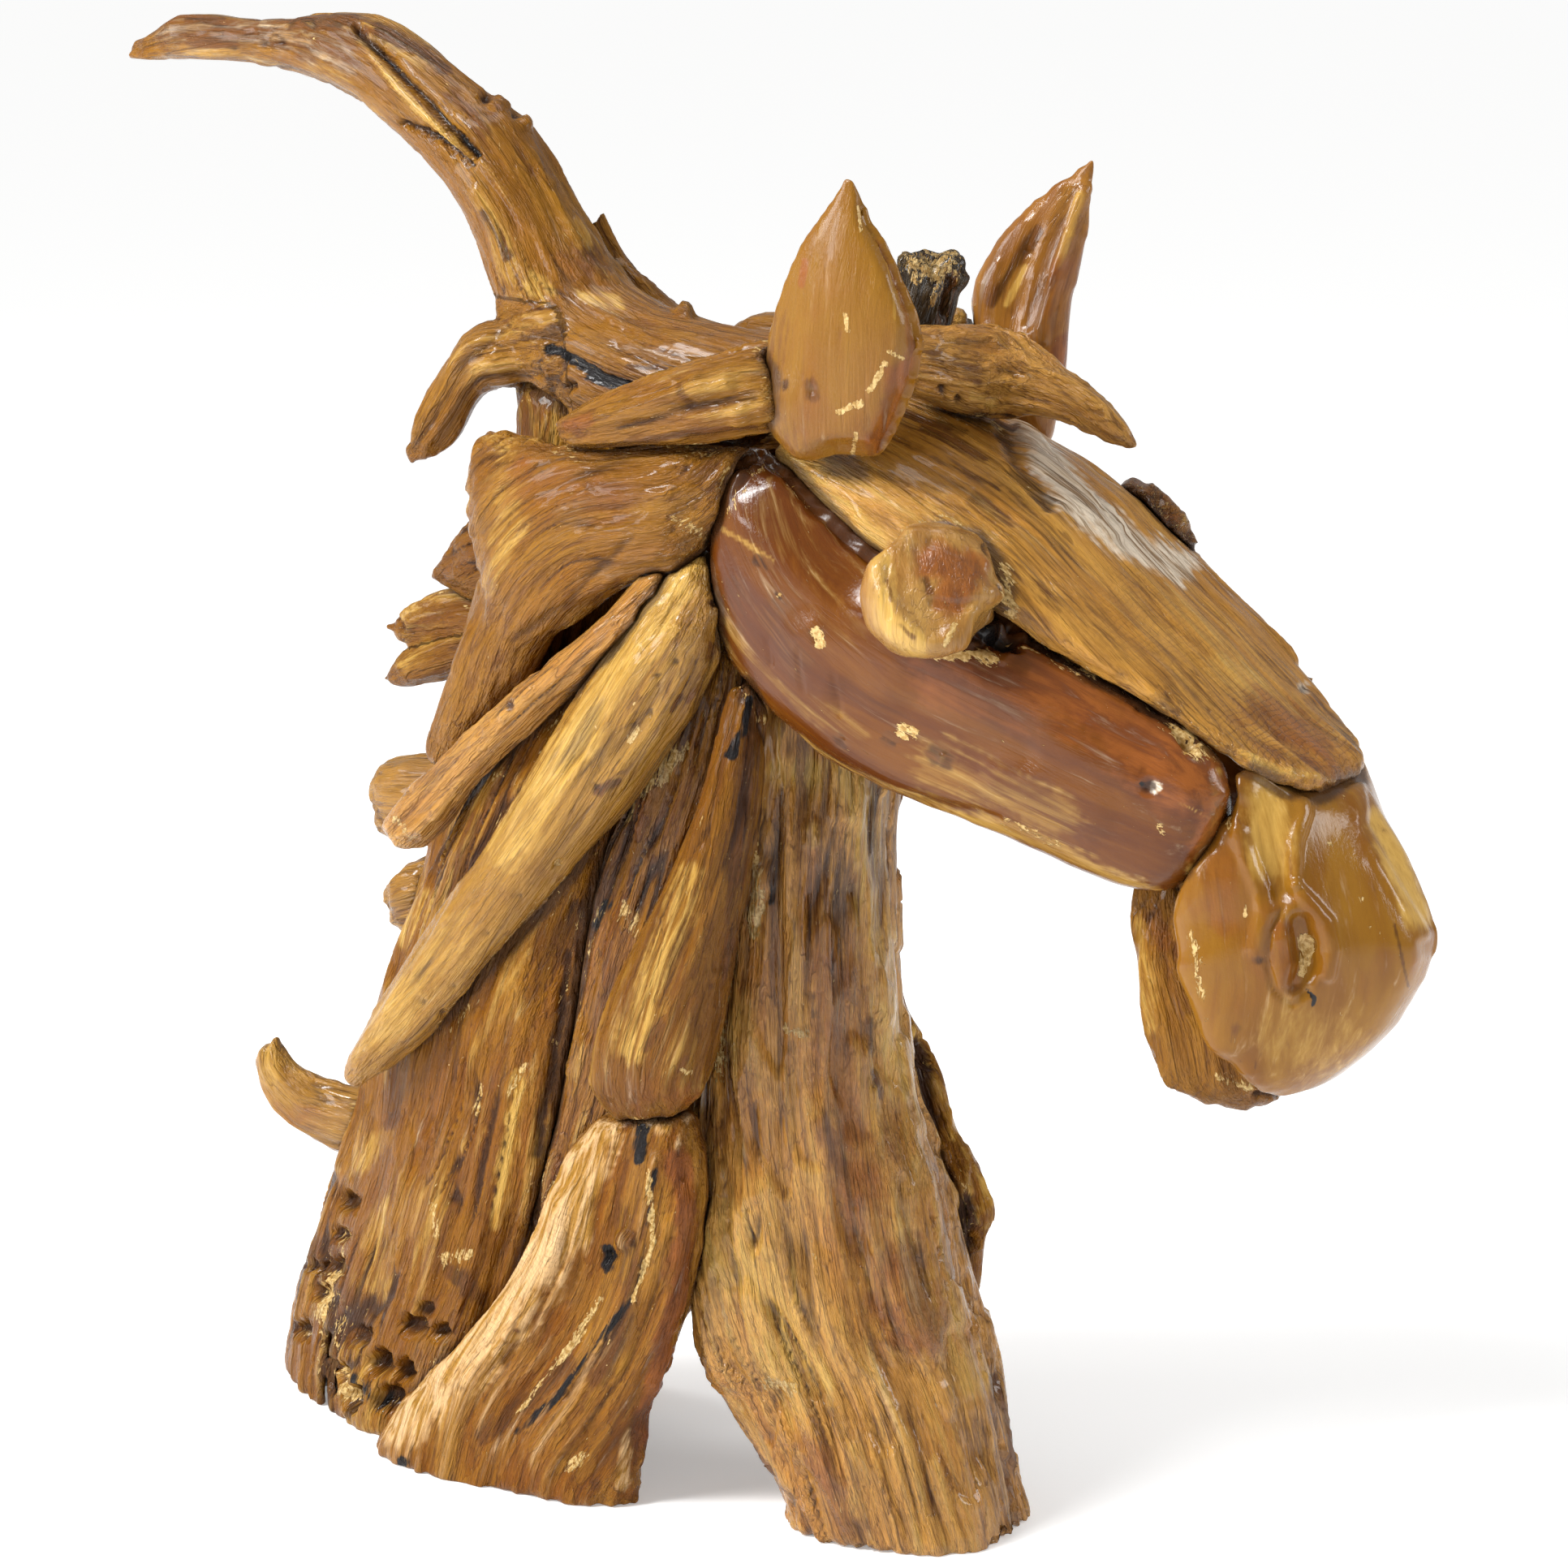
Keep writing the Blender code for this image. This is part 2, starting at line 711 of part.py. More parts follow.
PLANK = [
    ((425, 408, -62), (458, 400, -62), 22),
    ((396, 480, -64), (446, 480, -64), 24),
    ((370, 540, -66), (434, 540, -66), 24),
    ((356, 600, -68), (416, 600, -68), 24),
    ((345, 670, -68), (396, 670, -68), 22),
    ((334, 720, -68), (376, 720, -68), 20),
    ((328, 766, -66), (350, 766, -66), 12),
]
FOOT = [
    ((370, 689, -94), (426, 684, -94), 18),
    ((350, 715, -92), (434, 718, -94), 26),
    ((338, 750, -90), (431, 756, -92), 29),
    ((318, 788, -86), (425, 796, -88), 30),
    ((285, 827, -84), (416, 836, -80), 30),
    ((242, 870, -84), (403, 880, -78), 30),
    ((227, 900, -86), (395, 920, -78), 30),
    ((229, 930, -88), (396, 950, -78), 30),
    ((233, 960, -88), (398, 985, -78), 30),
]
LOCK = [
    ((450, 420, -90), (472, 419, -90), 12),
    ((440, 475, -98), (468, 478, -98), 20),
    ((425, 520, -101), (462, 525, -101), 24),
    ((403, 565, -102), (452, 570, -102), 26),
    ((383, 610, -102), (444, 615, -102), 27),
    ((369, 650, -102), (434, 657, -102), 26),
    ((372, 677, -100), (425, 681, -100), 18),
    ((392, 690, -98), (410, 690, -98), 6),
]
STRAND_LONG = [
    ((434, 330, -92), (444, 350, -92), 8),
    ((411, 352, -104), (447, 392, -102), 20),
    ((381, 390, -106), (434, 435, -104), 24),
    ((350, 435, -105), (400, 482, -103), 24),
    ((320, 489, -102), (364, 525, -101), 22),
    ((282, 549, -98), (325, 572, -98), 20),
    ((249, 597, -93), (286, 615, -94), 17),
    ((222, 637, -88), (250, 652, -89), 13),
    ((211, 662, -85), (219, 671, -85), 5),
]
STRAND_SLIM = [
    ((416, 336, -96), (434, 345, -96), 7),
    ((385, 365, -112), (402, 384, -111), 15),
    ((350, 397, -112), (369, 414, -111), 16),
    ((320, 423, -108), (334, 445, -107), 16),
    ((289, 452, -98), (303, 475, -98), 15),
    ((260, 479, -86), (280, 502, -88), 15),
    ((242, 500, -78), (265, 519, -80), 13),
    ((238, 511, -76), (250, 521, -77), 5),
]
TEMPLE = [
    ((346, 272, -104), (345, 256, -104), 8),
    ((368, 276, -107), (364, 248, -107), 18),
    ((402, 273, -109), (398, 235, -109), 22),
    ((439, 273, -108), (434, 219, -108), 25),
    ((473, 268, -102), (473, 207, -100), 25),
    ((500, 264, -96), (500, 208, -92), 20),
]


def neck_plate():
    piece = root("neck_plate_right", PLATE, sides=10, rings=16, rough=0.06)
    return settle(piece)


def back_slab():
    piece = root("back_slab_right", SLAB, sides=10, rings=12, rough=0.07)
    stand_on_floor(piece)
    return settle(piece)


def neck_plank():
    piece = root("neck_plank_right", PLANK, "dark_root", sides=8, rings=8, boxy=3.0, rough=0.06)
    return settle(piece)


def root_foot():
    piece = root("root_foot_right", FOOT, sides=12, rings=11, rough=0.05, valley=0.4)
    stand_on_floor(piece)
    return settle(piece)


def mane_lock():
    piece = root("mane_lock_right", LOCK, sides=9, rings=10, rough=0.06)
    return settle(piece)


def strand_long():
    piece = root("mane_strand_long_right", STRAND_LONG, sides=9, rings=12, rough=0.07)
    return settle(piece)


def strand_slim():
    piece = root("mane_strand_slim_right", STRAND_SLIM, "dark_root", sides=7, rings=11, rough=0.1)
    return settle(piece)


def temple_lock():
    piece = root("temple_lock_right", TEMPLE, sides=9, rings=9, rough=0.08)
    return settle(piece)


# Back of the neck: spurs, sawn blocks and the hooked root

def back_spur():
    ledge = root("back_spur_right", [
        ((360, 330, -20), (380, 380, -20), 22),
        ((308, 308, -14), (340, 372, -12), 24),
        ((288, 324, -8), (316, 374, -6), 20),
        ((272, 345, -4), (292, 368, -2), 12),
        ((266, 356, -2), (270, 362, -2), 4),
    ], sides=8, rings=8, rough=0.1)
    return settle(ledge)


def back_horns():
    upper = root("back_horns", [
        ((350, 380, 10), (350, 420, 10), 22),
        ((300, 362, 8), (308, 408, 8), 20),
        ((276, 364, 8), (288, 402, 8), 17),
        ((252, 376, 6), (266, 399, 6), 11),
        ((238, 385, 6), (242, 389, 6), 3),
    ], sides=7, rings=7, rough=0.12)
    lower = root("horn", [
        ((330, 396, 4), (336, 424, 4), 18),
        ((290, 386, 4), (304, 412, 4), 17),
        ((262, 394, 2), (276, 420, 2), 15),
        ((244, 406, 2), (252, 424, 2), 10),
        ((237, 418, 2), (241, 423, 2), 3),
    ], sides=7, rings=7, rough=0.1)
    combine(upper, "UNION", lower)
    bpy.data.objects.remove(lower)
    return settle(upper)


def sawn_block(name, stations):
    piece = root(name, stations, sides=8, rings=6, boxy=3.2, rough=0.08)
    return settle(piece)


def tail_hook():
    stations = [
        ((158, 645, -20), (172, 639, -18), 7),
        ((159, 664, -20), (178, 653, -18), 10),
        ((171, 688, -18), (194, 661, -16), 13),
        ((190, 701, -14), (211, 667, -12), 15),
        ((212, 712, -8), (236, 670, -6), 17),
        ((252, 722, 0), (266, 676, 0), 18),
    ]
    piece = root("tail_hook", stations, sides=8, rings=9, rough=0.07)
    return settle(piece)


# Left side of the neck, plainer: what shows past the post, and mirrored strands

def throat_root_left():
    stations = [
        ((516, 480, 56), (546, 492, 60), 14),
        ((520, 550, 58), (550, 550, 62), 18),
        ((522, 612, 58), (551, 612, 62), 20),
        ((530, 660, 56), (577, 664, 60), 22),
        ((540, 705, 54), (589, 704, 58), 24),
        ((552, 740, 54), (611, 738, 58), 24),
        ((558, 780, 54), (604, 772, 58), 24),
        ((562, 825, 54), (601, 822, 58), 22),
        ((566, 880, 56), (608, 880, 60), 22),
        ((568, 930, 58), (612, 930, 62), 22),
    ]
    piece = root("throat_root_left", stations, sides=8, rings=13, rough=0.14)
    stand_on_floor(piece)
    return settle(piece)


def left_side():
    far = {"mirrored": True}
    plate = root("neck_plate_left", PLATE, sides=8, rings=11, rough=0.08, shift=(2, 0, -8), **far)
    settle(plate)
    slab = root("back_slab_left", SLAB, sides=8, rings=9, rough=0.1, shift=(24, 0, 0), **far)
    stand_on_floor(slab)
    settle(slab)
    narrowed = [
        (left, (right[0] - min(80, 16 * i), right[1], right[2]), half)
        for i, (left, right, half) in enumerate(FOOT)
    ]
    foot = root("root_foot_left", narrowed, sides=8, rings=8, rough=0.08, **far)
    stand_on_floor(foot)
    settle(foot)
    lock = root("mane_lock_left", LOCK, sides=7, rings=8, rough=0.1, shift=(-14, -2, 4), **far)
    settle(lock)
    strand = root(
        "mane_strand_long_left", STRAND_LONG, sides=7, rings=9, rough=0.1, shift=(-2, 0, 6), **far
    )
    settle(strand)
    temple = root(
        "temple_lock_left", TEMPLE, sides=7, rings=7, rough=0.1, shift=(-6, 0, -4), **far
    )
    settle(temple)
    slim = root(
        "mane_strand_slim_left", STRAND_SLIM, "dark_root", sides=7, rings=9, rough=0.12,
        shift=(-4, 0, 6), **far
    )
    settle(slim)


crest_root()
crest_root_left()
ears()
eye_knob("eye_right", at(577, 364, -118), -1, EYE_ROOT_SIDE, EYE_LENGTH, EYE_RADIUS)
eye_knob("eye_left", at(714, 328, 112), 1, 0.8 * EYE_ROOT_SIDE, 0.8 * EYE_LENGTH, 0.9 * EYE_RADIUS)
forelock()
poll_knob()
neck_plate()
back_slab()
neck_plank()
root_foot()
mane_lock()
strand_long()
strand_slim()
temple_lock()
back_spur()
back_horns()
sawn_block("back_block_upper", [
    ((300, 462, 0), (302, 524, 0), 22),
    ((262, 465, 0), (264, 520, 0), 24),
    ((240, 468, 0), (245, 516, 0), 22),
    ((232, 480, 0), (236, 506, 0), 14),
])
sawn_block("back_block_lower", [
    ((280, 520, 0), (284, 572, 0), 20),
    ((258, 526, 0), (260, 575, 0), 22),
    ((246, 537, 0), (252, 573, 0), 20),
    ((239, 549, 0), (243, 565, 0), 12),
])
tail_hook()
throat_root_left()
left_side()


# The origin goes under the middle of the bounding box
def move_to_origin():
    corners = [vert.co for part in PARTS.objects for vert in part.data.vertices]
    middle = Vector((
        (min(c.x for c in corners) + max(c.x for c in corners)) / 2,
        (min(c.y for c in corners) + max(c.y for c in corners)) / 2,
        min(c.z for c in corners),
    ))
    for part in PARTS.objects:
        part.data.transform(Matrix.Translation(-middle))
    return -middle


for helper in list(CUTTERS.objects):
    bpy.data.objects.remove(helper)
bpy.data.collections.remove(CUTTERS)
SHIFT = move_to_origin()
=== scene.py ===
import math

import bpy
import numpy as np
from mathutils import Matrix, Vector
from mathutils.bvhtree import BVHTree


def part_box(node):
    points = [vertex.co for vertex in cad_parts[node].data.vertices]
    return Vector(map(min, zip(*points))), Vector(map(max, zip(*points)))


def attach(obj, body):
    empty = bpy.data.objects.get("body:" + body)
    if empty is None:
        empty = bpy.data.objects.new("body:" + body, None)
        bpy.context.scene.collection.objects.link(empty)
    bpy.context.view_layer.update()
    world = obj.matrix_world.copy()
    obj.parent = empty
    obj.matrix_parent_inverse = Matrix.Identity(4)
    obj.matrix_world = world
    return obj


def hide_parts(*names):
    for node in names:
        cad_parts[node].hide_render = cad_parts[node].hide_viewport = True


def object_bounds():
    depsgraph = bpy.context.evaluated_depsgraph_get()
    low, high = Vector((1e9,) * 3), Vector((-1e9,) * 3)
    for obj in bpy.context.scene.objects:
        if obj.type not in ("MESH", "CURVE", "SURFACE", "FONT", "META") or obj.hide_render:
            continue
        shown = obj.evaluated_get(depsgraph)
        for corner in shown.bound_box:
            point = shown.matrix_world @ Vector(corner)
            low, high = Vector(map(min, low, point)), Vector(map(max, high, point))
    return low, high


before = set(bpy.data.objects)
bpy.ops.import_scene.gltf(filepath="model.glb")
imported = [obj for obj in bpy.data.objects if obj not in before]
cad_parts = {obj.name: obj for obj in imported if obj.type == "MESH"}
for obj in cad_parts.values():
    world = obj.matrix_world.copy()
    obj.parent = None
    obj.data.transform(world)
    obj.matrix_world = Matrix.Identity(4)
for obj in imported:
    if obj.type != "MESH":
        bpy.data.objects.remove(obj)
cadLow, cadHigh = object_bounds()
print("frame loaded:", len(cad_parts), "nodes")

# The view that the roots were sketched in: angles in degrees, its middle in millimetres, the rest in metres
sheet = {
    "turn": 32.0,
    "tilt": 13.0,
    "distance": 3.0,
    "centre": (0.0411, 0.0135, 0.457),
    "width": 0.966,
    "middle": 483.0,
    "halvesPerMetre": 2000,                # spots on the sheet count half millimetres
}

turn, tilt = math.radians(sheet["turn"]), math.radians(sheet["tilt"])
back = np.array([math.sin(turn) * math.cos(tilt), -math.cos(turn) * math.cos(tilt), math.sin(tilt)])
right = np.array([math.cos(turn), math.sin(turn), 0.0])
up = np.cross(back, right)
centre = np.array(sheet["centre"])
viewPoint = centre + back * sheet["distance"]


def at(across, down, side):                # a sketch point in millimetres, side being its distance to the left
    middle = sheet["middle"]
    ray = right * (across - middle) / 1000 + up * (middle - down) / 1000 - back * sheet["distance"]
    share = (side / 1000 + centre[1] - viewPoint[1]) / ray[1]
    return viewPoint + ray * share


def onSheet(points):                       # where points are seen, in half millimetres of the sheet
    offset = points - centre
    shrink = sheet["distance"] / (sheet["distance"] - offset @ back)
    middle = 2 * sheet["middle"]
    return np.stack([
        middle + offset @ right * shrink * sheet["halvesPerMetre"],
        middle - offset @ up * shrink * sheet["halvesPerMetre"],
    ], 1)


# Numbers over the surface

def hashed(cell, seed):
    mixed = cell[:, 0] * 73856093 ^ cell[:, 1] * 19349663 ^ cell[:, 2] * 83492791 ^ seed * 40503
    mixed = (mixed ^ (mixed >> 13)) * 1274126177 & 0x7FFFFFFF
    return ((mixed ^ (mixed >> 15)) & 0xFFFF) / 32768.0 - 1.0


def noise(points, seed=0):                 # smooth values from about -1 to 1
    cell = np.floor(points).astype(np.int64)
    part = points - cell
    part = part * part * (3 - 2 * part)
    total = np.zeros(len(points))
    for corner in range(8):
        step = np.array([corner & 1, corner >> 1 & 1, corner >> 2 & 1])
        weight = np.prod(np.where(step, part, 1 - part), axis=1)
        total += weight * hashed(cell + step, seed)
    return total


def smooth(value, low=0.0, high=1.0):
    t = np.clip((value - low) / (high - low), 0, 1)
    return t * t * (3 - 2 * t)


# Meshes

def vectorsOf(mesh, what="co"):
    flat = np.empty(len(mesh.vertices) * 3, np.float32)
    mesh.vertices.foreach_get(what, flat)
    return flat.reshape(-1, 3).astype(float)


def setPlaces(mesh, places):
    mesh.vertices.foreach_set("co", places.astype(np.float32).ravel())
    mesh.update()


def soften(mesh, rounds, kept=()):         # smooths facets away and keeps the volume, and the tips named in kept
    places = vectorsOf(mesh)
    spots, free = onSheet(places), np.ones(len(places))
    for spot, radius in kept:
        free *= smooth(np.linalg.norm(spots - spot, axis=1), radius * 0.4, radius)
    ends = np.empty(len(mesh.edges) * 2, np.int32)
    mesh.edges.foreach_get("vertices", ends)
    one, two = ends.reshape(-1, 2).T
    count = len(places)
    links = np.maximum(np.bincount(one, minlength=count) + np.bincount(two, minlength=count), 1)
    inwards, outwards = 0.62, -0.63
    for step in range(rounds * 2):
        weight = inwards if step % 2 == 0 else outwards
        mean = np.stack([
            np.bincount(one, places[two, axis], count) + np.bincount(two, places[one, axis], count)
            for axis in range(3)
        ], 1) / links[:, None]
        places += (mean - places) * (weight * free)[:, None]
    setPlaces(mesh, places)


def curveThrough(points, steps=72):
    points = np.array(points)
    last = len(points) - 1
    made = []
    for place in np.linspace(0, last, steps):
        i = min(int(place), last - 1)
        t = place - i
        a, b = points[i], points[i + 1]
        before, after = points[max(i - 1, 0)], points[min(i + 2, last)]
        made.append(
            b * (3 * t * t - 2 * t ** 3) + a * (1 - 3 * t * t + 2 * t ** 3)
            + (b - before) * 0.5 * (t - 2 * t * t + t ** 3)
            + (after - a) * 0.5 * (t ** 3 - t * t)
        )
    return np.array(made)


def grainOf(places, paths):                # along the grain, and two ways across it, in metres
    branchShift, overrun = 0.9, 0.05       # a second path's grain differs, and grain runs on past the ends
    best = np.full(len(places), 1e9)
    grain = np.zeros((len(places), 3))
    for number, path in enumerate(paths):
        starts, runs = path[:-1], path[1:] - path[:-1]
        lengths = np.linalg.norm(runs, axis=1)
        before = np.concatenate([[0], np.cumsum(lengths)[:-1]]) + number * branchShift
        ways = runs / lengths[:, None]
        first = np.array([0, 1.0, 0]) if abs(ways[0, 1]) < 0.8 else np.array([0, 0, 1.0])
        for start, way, length, gone in zip(starts, ways, lengths, before):
            offset = places - start
            along = np.clip(offset @ way, 0, length)
            apart = offset - along[:, None] * way
            distance = np.einsum("ij,ij->i", apart, apart)
            nearer = distance < best
            first = first - way * (first @ way)
            first /= np.linalg.norm(first)
            second = np.cross(way, first)
            lowest = -overrun if gone == before[0] else 0
            highest = length + (overrun if gone == before[-1] else 0)
            beyond = np.clip(offset @ way, lowest, highest)
            found = np.stack([gone + beyond, offset @ first, offset @ second], 1)
            grain[nearer] = found[nearer]
            best = np.where(nearer, distance, best)
    return grain


def lineMask(spots, line, width, ragged):  # 1 on a drawn line, or on a single spot, and 0 beyond its width
    nearest = np.full(len(spots), 1e9)
    if len(line) == 1:
        line = np.concatenate([line, line])
    for p, q in zip(line, line[1:]):
        run = q - p
        share = np.clip((spots - p) @ run / max(run @ run, 1e-9), 0, 1)
        nearest = np.minimum(nearest, np.linalg.norm(spots - p - share[:, None] * run, axis=1))
    return smooth(1.3 - (nearest + ragged * width) / width)


def storeVector(mesh, name, values):
    attribute = mesh.attributes.new(name, "FLOAT_VECTOR", "POINT")
    attribute.data.foreach_set("vector", values.astype(np.float32).ravel())


channels = {                               # what each of a mesh's attributes holds, in the order of its parts
    "tint": ("dark", "pale", "red"),
    "wear": ("filler", "deep", "seam"),
    "mark": ("rings", "char", "grey"),
}

nodeFaces = {}
for nodeName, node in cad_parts.items():
    corners = [vert.co.copy() for vert in node.data.vertices]
    nodeFaces[nodeName] = (corners, [tuple(face.vertices) for face in node.data.polygons])


def neighbours(nodeName, reach=0.02):      # the faces of what lies around a piece
    low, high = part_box(nodeName)
    corners, faces = [], []
    for other, (points, triangles) in nodeFaces.items():
        if other == nodeName:
            continue
        otherLow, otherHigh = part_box(other)
        if any(otherLow[i] > high[i] + reach or otherHigh[i] < low[i] - reach for i in range(3)):
            continue
        start = len(corners)
        corners += points
        faces += [tuple(index + start for index in triangle) for triangle in triangles]
    return BVHTree.FromPolygons(corners, faces)


def seamOf(places, nodeName, reach=0.012): # 1 where another piece touches, 0 beyond the reach
    tree = neighbours(nodeName)
    found = np.zeros(len(places))
    for i, place in enumerate(places):
        hit = tree.find_nearest(place, reach)[3]
        if hit is not None:
            found[i] = 1 - hit / reach
    return found


# What a piece has where its own look doesn't say: heights in millimetres, cell in metres
plainLook = {
    "slot": "raw_teak", "cell": 0.0048, "rounds": 8, "levels": 1, "kept": (), "pushes": (), "thin": False,
    "mirrored": False, "lobes": 1.0, "flutes": 0.8, "ripples": 0.7, "flakes": 0.0, "cracks": 0.0, "soot": 1.0,
    "relief": 2.0, "shade": 1.0, "ragged": 1.0,
}
sanded = {**plainLook, "relief": 1.0, "flutes": 0.0, "ripples": 0.0, "shade": 0.0}

# How far each kind of relief runs along the grain and across it, in metres
reliefRuns = {
    "lobes": (0.08, 0.035, 0.035), "flutes": (0.13, 0.010, 0.010), "flakes": (0.045, 0.016, 0.016),
    "ripples": (0.04, 0.0055, 0.0055), "cracks": (0.16, 0.009, 0.009), "cracked": (0.07, 0.05, 0.05),
    "ragged": (0.02, 0.004, 0.004),
}


def growPiece(name, nodeName, plain=plainLook, **ownLook):
    look = {"finish": name, **plain, **ownLook}
    seed = len(nodeName)
    bpy.ops.object.select_all(action="DESELECT")
    piece = bpy.data.objects.new(name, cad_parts[nodeName].data.copy())
    bpy.context.scene.collection.objects.link(piece)
    bpy.context.view_layer.objects.active = piece
    piece.select_set(True)
    bpy.ops.object.mode_set(mode="EDIT")
    bpy.ops.mesh.select_all(action="SELECT")
    bpy.ops.mesh.remove_doubles(threshold=0.00001)
    bpy.ops.object.mode_set(mode="OBJECT")
    skin = piece.modifiers.new("skin", "REMESH")
    skin.mode = "VOXEL"
    skin.voxel_size = look["cell"]
    bpy.ops.object.modifier_apply(modifier=skin.name)
    mesh = piece.data
    soften(mesh, look["rounds"], look["kept"])
    finer = piece.modifiers.new("finer", "SUBSURF")
    finer.levels = finer.render_levels = look["levels"]
    bpy.ops.object.modifier_apply(modifier=finer.name)

    places, normals = vectorsOf(mesh), vectorsOf(mesh, "normal")
    if look["pushes"]:                     # moves outlines across the sheet
        depth, flat = places @ back, onSheet(places)
        seen = smooth((depth - depth.min()) / np.ptp(depth), 0.2, 0.6)
        if look["thin"]:                   # both faces move together
            seen[:] = 1.0
        moves, shares = np.zeros((len(places), 3)), np.zeros(len(places))
        for start, end, radius in look["pushes"]:
            share = smooth(np.linalg.norm(flat - start, axis=1), radius, radius * 0.1)
            move = right * (end[0] - start[0]) - up * (end[1] - start[1])
            moves += share[:, None] * move / sheet["halvesPerMetre"]
            shares += share
        places += (seen / np.maximum(shares, 1))[:, None] * moves
        setPlaces(mesh, places)
        normals = vectorsOf(mesh, "normal")
    paths = [curveThrough([at(*spot) for spot in path]) for path in look["paths"]]
    if look["mirrored"]:
        paths = [np.stack([path[:, 0], 2 * centre[1] - path[:, 1], path[:, 2]], 1) for path in paths]
    grain = grainOf(places, paths)
    values = {part: np.zeros(len(places)) for parts in channels.values() for part in parts}

    # relief that follows the grain, in millimetres
    lobes = noise(grain / reliefRuns["lobes"], seed)
    flutes = noise(grain / reliefRuns["flutes"] + lobes[:, None] * 0.6, seed + 1)
    flakes = noise(grain / reliefRuns["flakes"] + flutes[:, None] * 0.35, seed + 2)
    ripples = noise(grain / reliefRuns["ripples"] + flutes[:, None] * 0.5, seed + 7)
    cracks = noise(grain / reliefRuns["cracks"] + lobes[:, None] * 0.6, seed + 3)
    cracked = smooth(noise(grain / reliefRuns["cracked"], seed + 4), -0.25, 0.35)
    crackWidth = 0.26
    crack = smooth(crackWidth - np.abs(cracks), 0, crackWidth) * cracked
    height = look["lobes"] * lobes
    height += look["flutes"] * (1 - 2 * np.abs(flutes))
    height += look["ripples"] * ripples
    height += look["flakes"] * (smooth(flakes, -0.05, 0.12) - 0.5)
    height -= look["cracks"] * crack
    # painted shade in the cracks
    values["deep"] += crack * min(look["cracks"], 1.0) * look["soot"]

    height *= look["relief"]
    # painted shade in the relief's hollows and painted highlight on its raised parts
    values["dark"] += 0.5 * smooth(-height, 0.5, 3.5) * look["shade"]
    values["pale"] += 0.4 * smooth(height, 0.8, 3.0) * look["shade"]

    # marks drawn on the side that the sheet shows: strength, width, then the line's spots, across and down
    spots = onSheet(places)
    facing = smooth(normals @ back, 0.0, 0.3)
    ragged = 0.4 * noise(grain / reliefRuns["ragged"], seed + 5) + 0.2 * noise(places * 300, seed + 6)
    ragged *= look["ragged"]
    for kind in ("cut", "carve", "ridge", "swell", *values):
        carved = kind in ("carve", "swell")
        for strength, width, *line in look.get(kind, ()):
            mask = lineMask(spots, np.reshape(line, (-1, 2)).astype(float), width, ragged * (not carved)) * facing
            if kind in ("cut", "carve"):
                height -= strength * mask
            elif kind in ("ridge", "swell"):
                height += strength * mask
            else:
                values[kind] = np.maximum(values[kind], mask * strength)
            # a cut's hollow also gets painted shade
            if kind == "cut":
                values["deep"] = np.maximum(values["deep"], mask * min(strength / 3, 1.0))

    values["seam"] = seamOf(places, nodeName)
    hidden = smooth(values["seam"], 0.75, 0.95)
    places += normals * (height * (1 - hidden) / 1000)[:, None]
    places = np.clip(places, np.array(cadLow), np.array(cadHigh))
    setPlaces(mesh, places)

    storeVector(mesh, "grain", grain)
    for attribute, parts in channels.items():
        storeVector(mesh, attribute, np.stack([values[part] for part in parts], 1))
    mesh.materials.clear()
    mesh.materials.append(woodFinish(look["finish"]))
    for polygon in mesh.polygons:
        polygon.use_smooth = True
    piece.select_set(False)
    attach(piece, "root")
    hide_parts(nodeName)
    print("piece", name, len(mesh.polygons) * 2, "triangles")


# Finishes

class Wire:                                # a socket that takes part in sums
    def __init__(self, finish, socket):
        self.finish, self.socket = finish, socket

    def maths(self, operation, one, two=0.0):
        node = self.finish.node("ShaderNodeMath", {"operation": operation}, {0: one, 1: two})
        return Wire(self.finish, node.outputs[0])

    def __add__(self, other):
        return self.maths("ADD", self, other)

    def __sub__(self, other):
        return self.maths("SUBTRACT", self, other)

    def __rsub__(self, other):
        return self.maths("SUBTRACT", other, self)

    def __mul__(self, other):
        return self.maths("MULTIPLY", self, other)

    def __abs__(self):
        return self.maths("ABSOLUTE", self)

    __radd__ = __add__
    __rmul__ = __mul__


class Finish:
    def __init__(self, name):
        self.material = bpy.data.materials.new(name)
        self.material.use_nodes = True
        self.tree = self.material.node_tree
        self.tree.nodes.clear()

    def node(self, kind, settings=None, sockets=None):
        node = self.tree.nodes.new(kind)
        for key, value in (settings or {}).items():
            setattr(node, key, value)
        for key, value in (sockets or {}).items():
            if isinstance(value, Wire):
                self.tree.links.new(value.socket, node.inputs[key])
            else:
                node.inputs[key].default_value = value
        return node

    def wire(self, node, output=0):
        return Wire(self, node.outputs[output])

    def attribute(self, name):
        return self.wire(self.node("ShaderNodeAttribute", {"attribute_name": name}), "Vector")

    def parts(self, vector):
        node = self.node("ShaderNodeSeparateXYZ", {}, {0: vector})
        return [self.wire(node, i) for i in range(3)]

    def noise(self, vector, shift, scale, detail, roughness, distortion):
        place = self.node("ShaderNodeVectorMath", {"operation": "MULTIPLY_ADD"}, {0: vector, 1: scale, 2: shift})
        node = self.node("ShaderNodeTexNoise", {}, {
            "Vector": self.wire(place), "Scale": 1.0,
            "Detail": detail, "Roughness": roughness, "Distortion": distortion,
        })
        return self.wire(node)

    def step(self, value, low, high):      # a smooth step from 0 at low to 1 at high
        node = self.node("ShaderNodeMapRange", {"interpolation_type": "SMOOTHSTEP"}, {0: value, 1: low, 2: high})
        return self.wire(node)

    def mix(self, share, one, two):        # from colour one to colour two
        one, two = ((*c, 1.0) if isinstance(c, tuple) else c for c in (one, two))
        node = self.node("ShaderNodeMix", {"data_type": "RGBA"}, {0: share, 6: one, 7: two})
        return self.wire(node, 2)


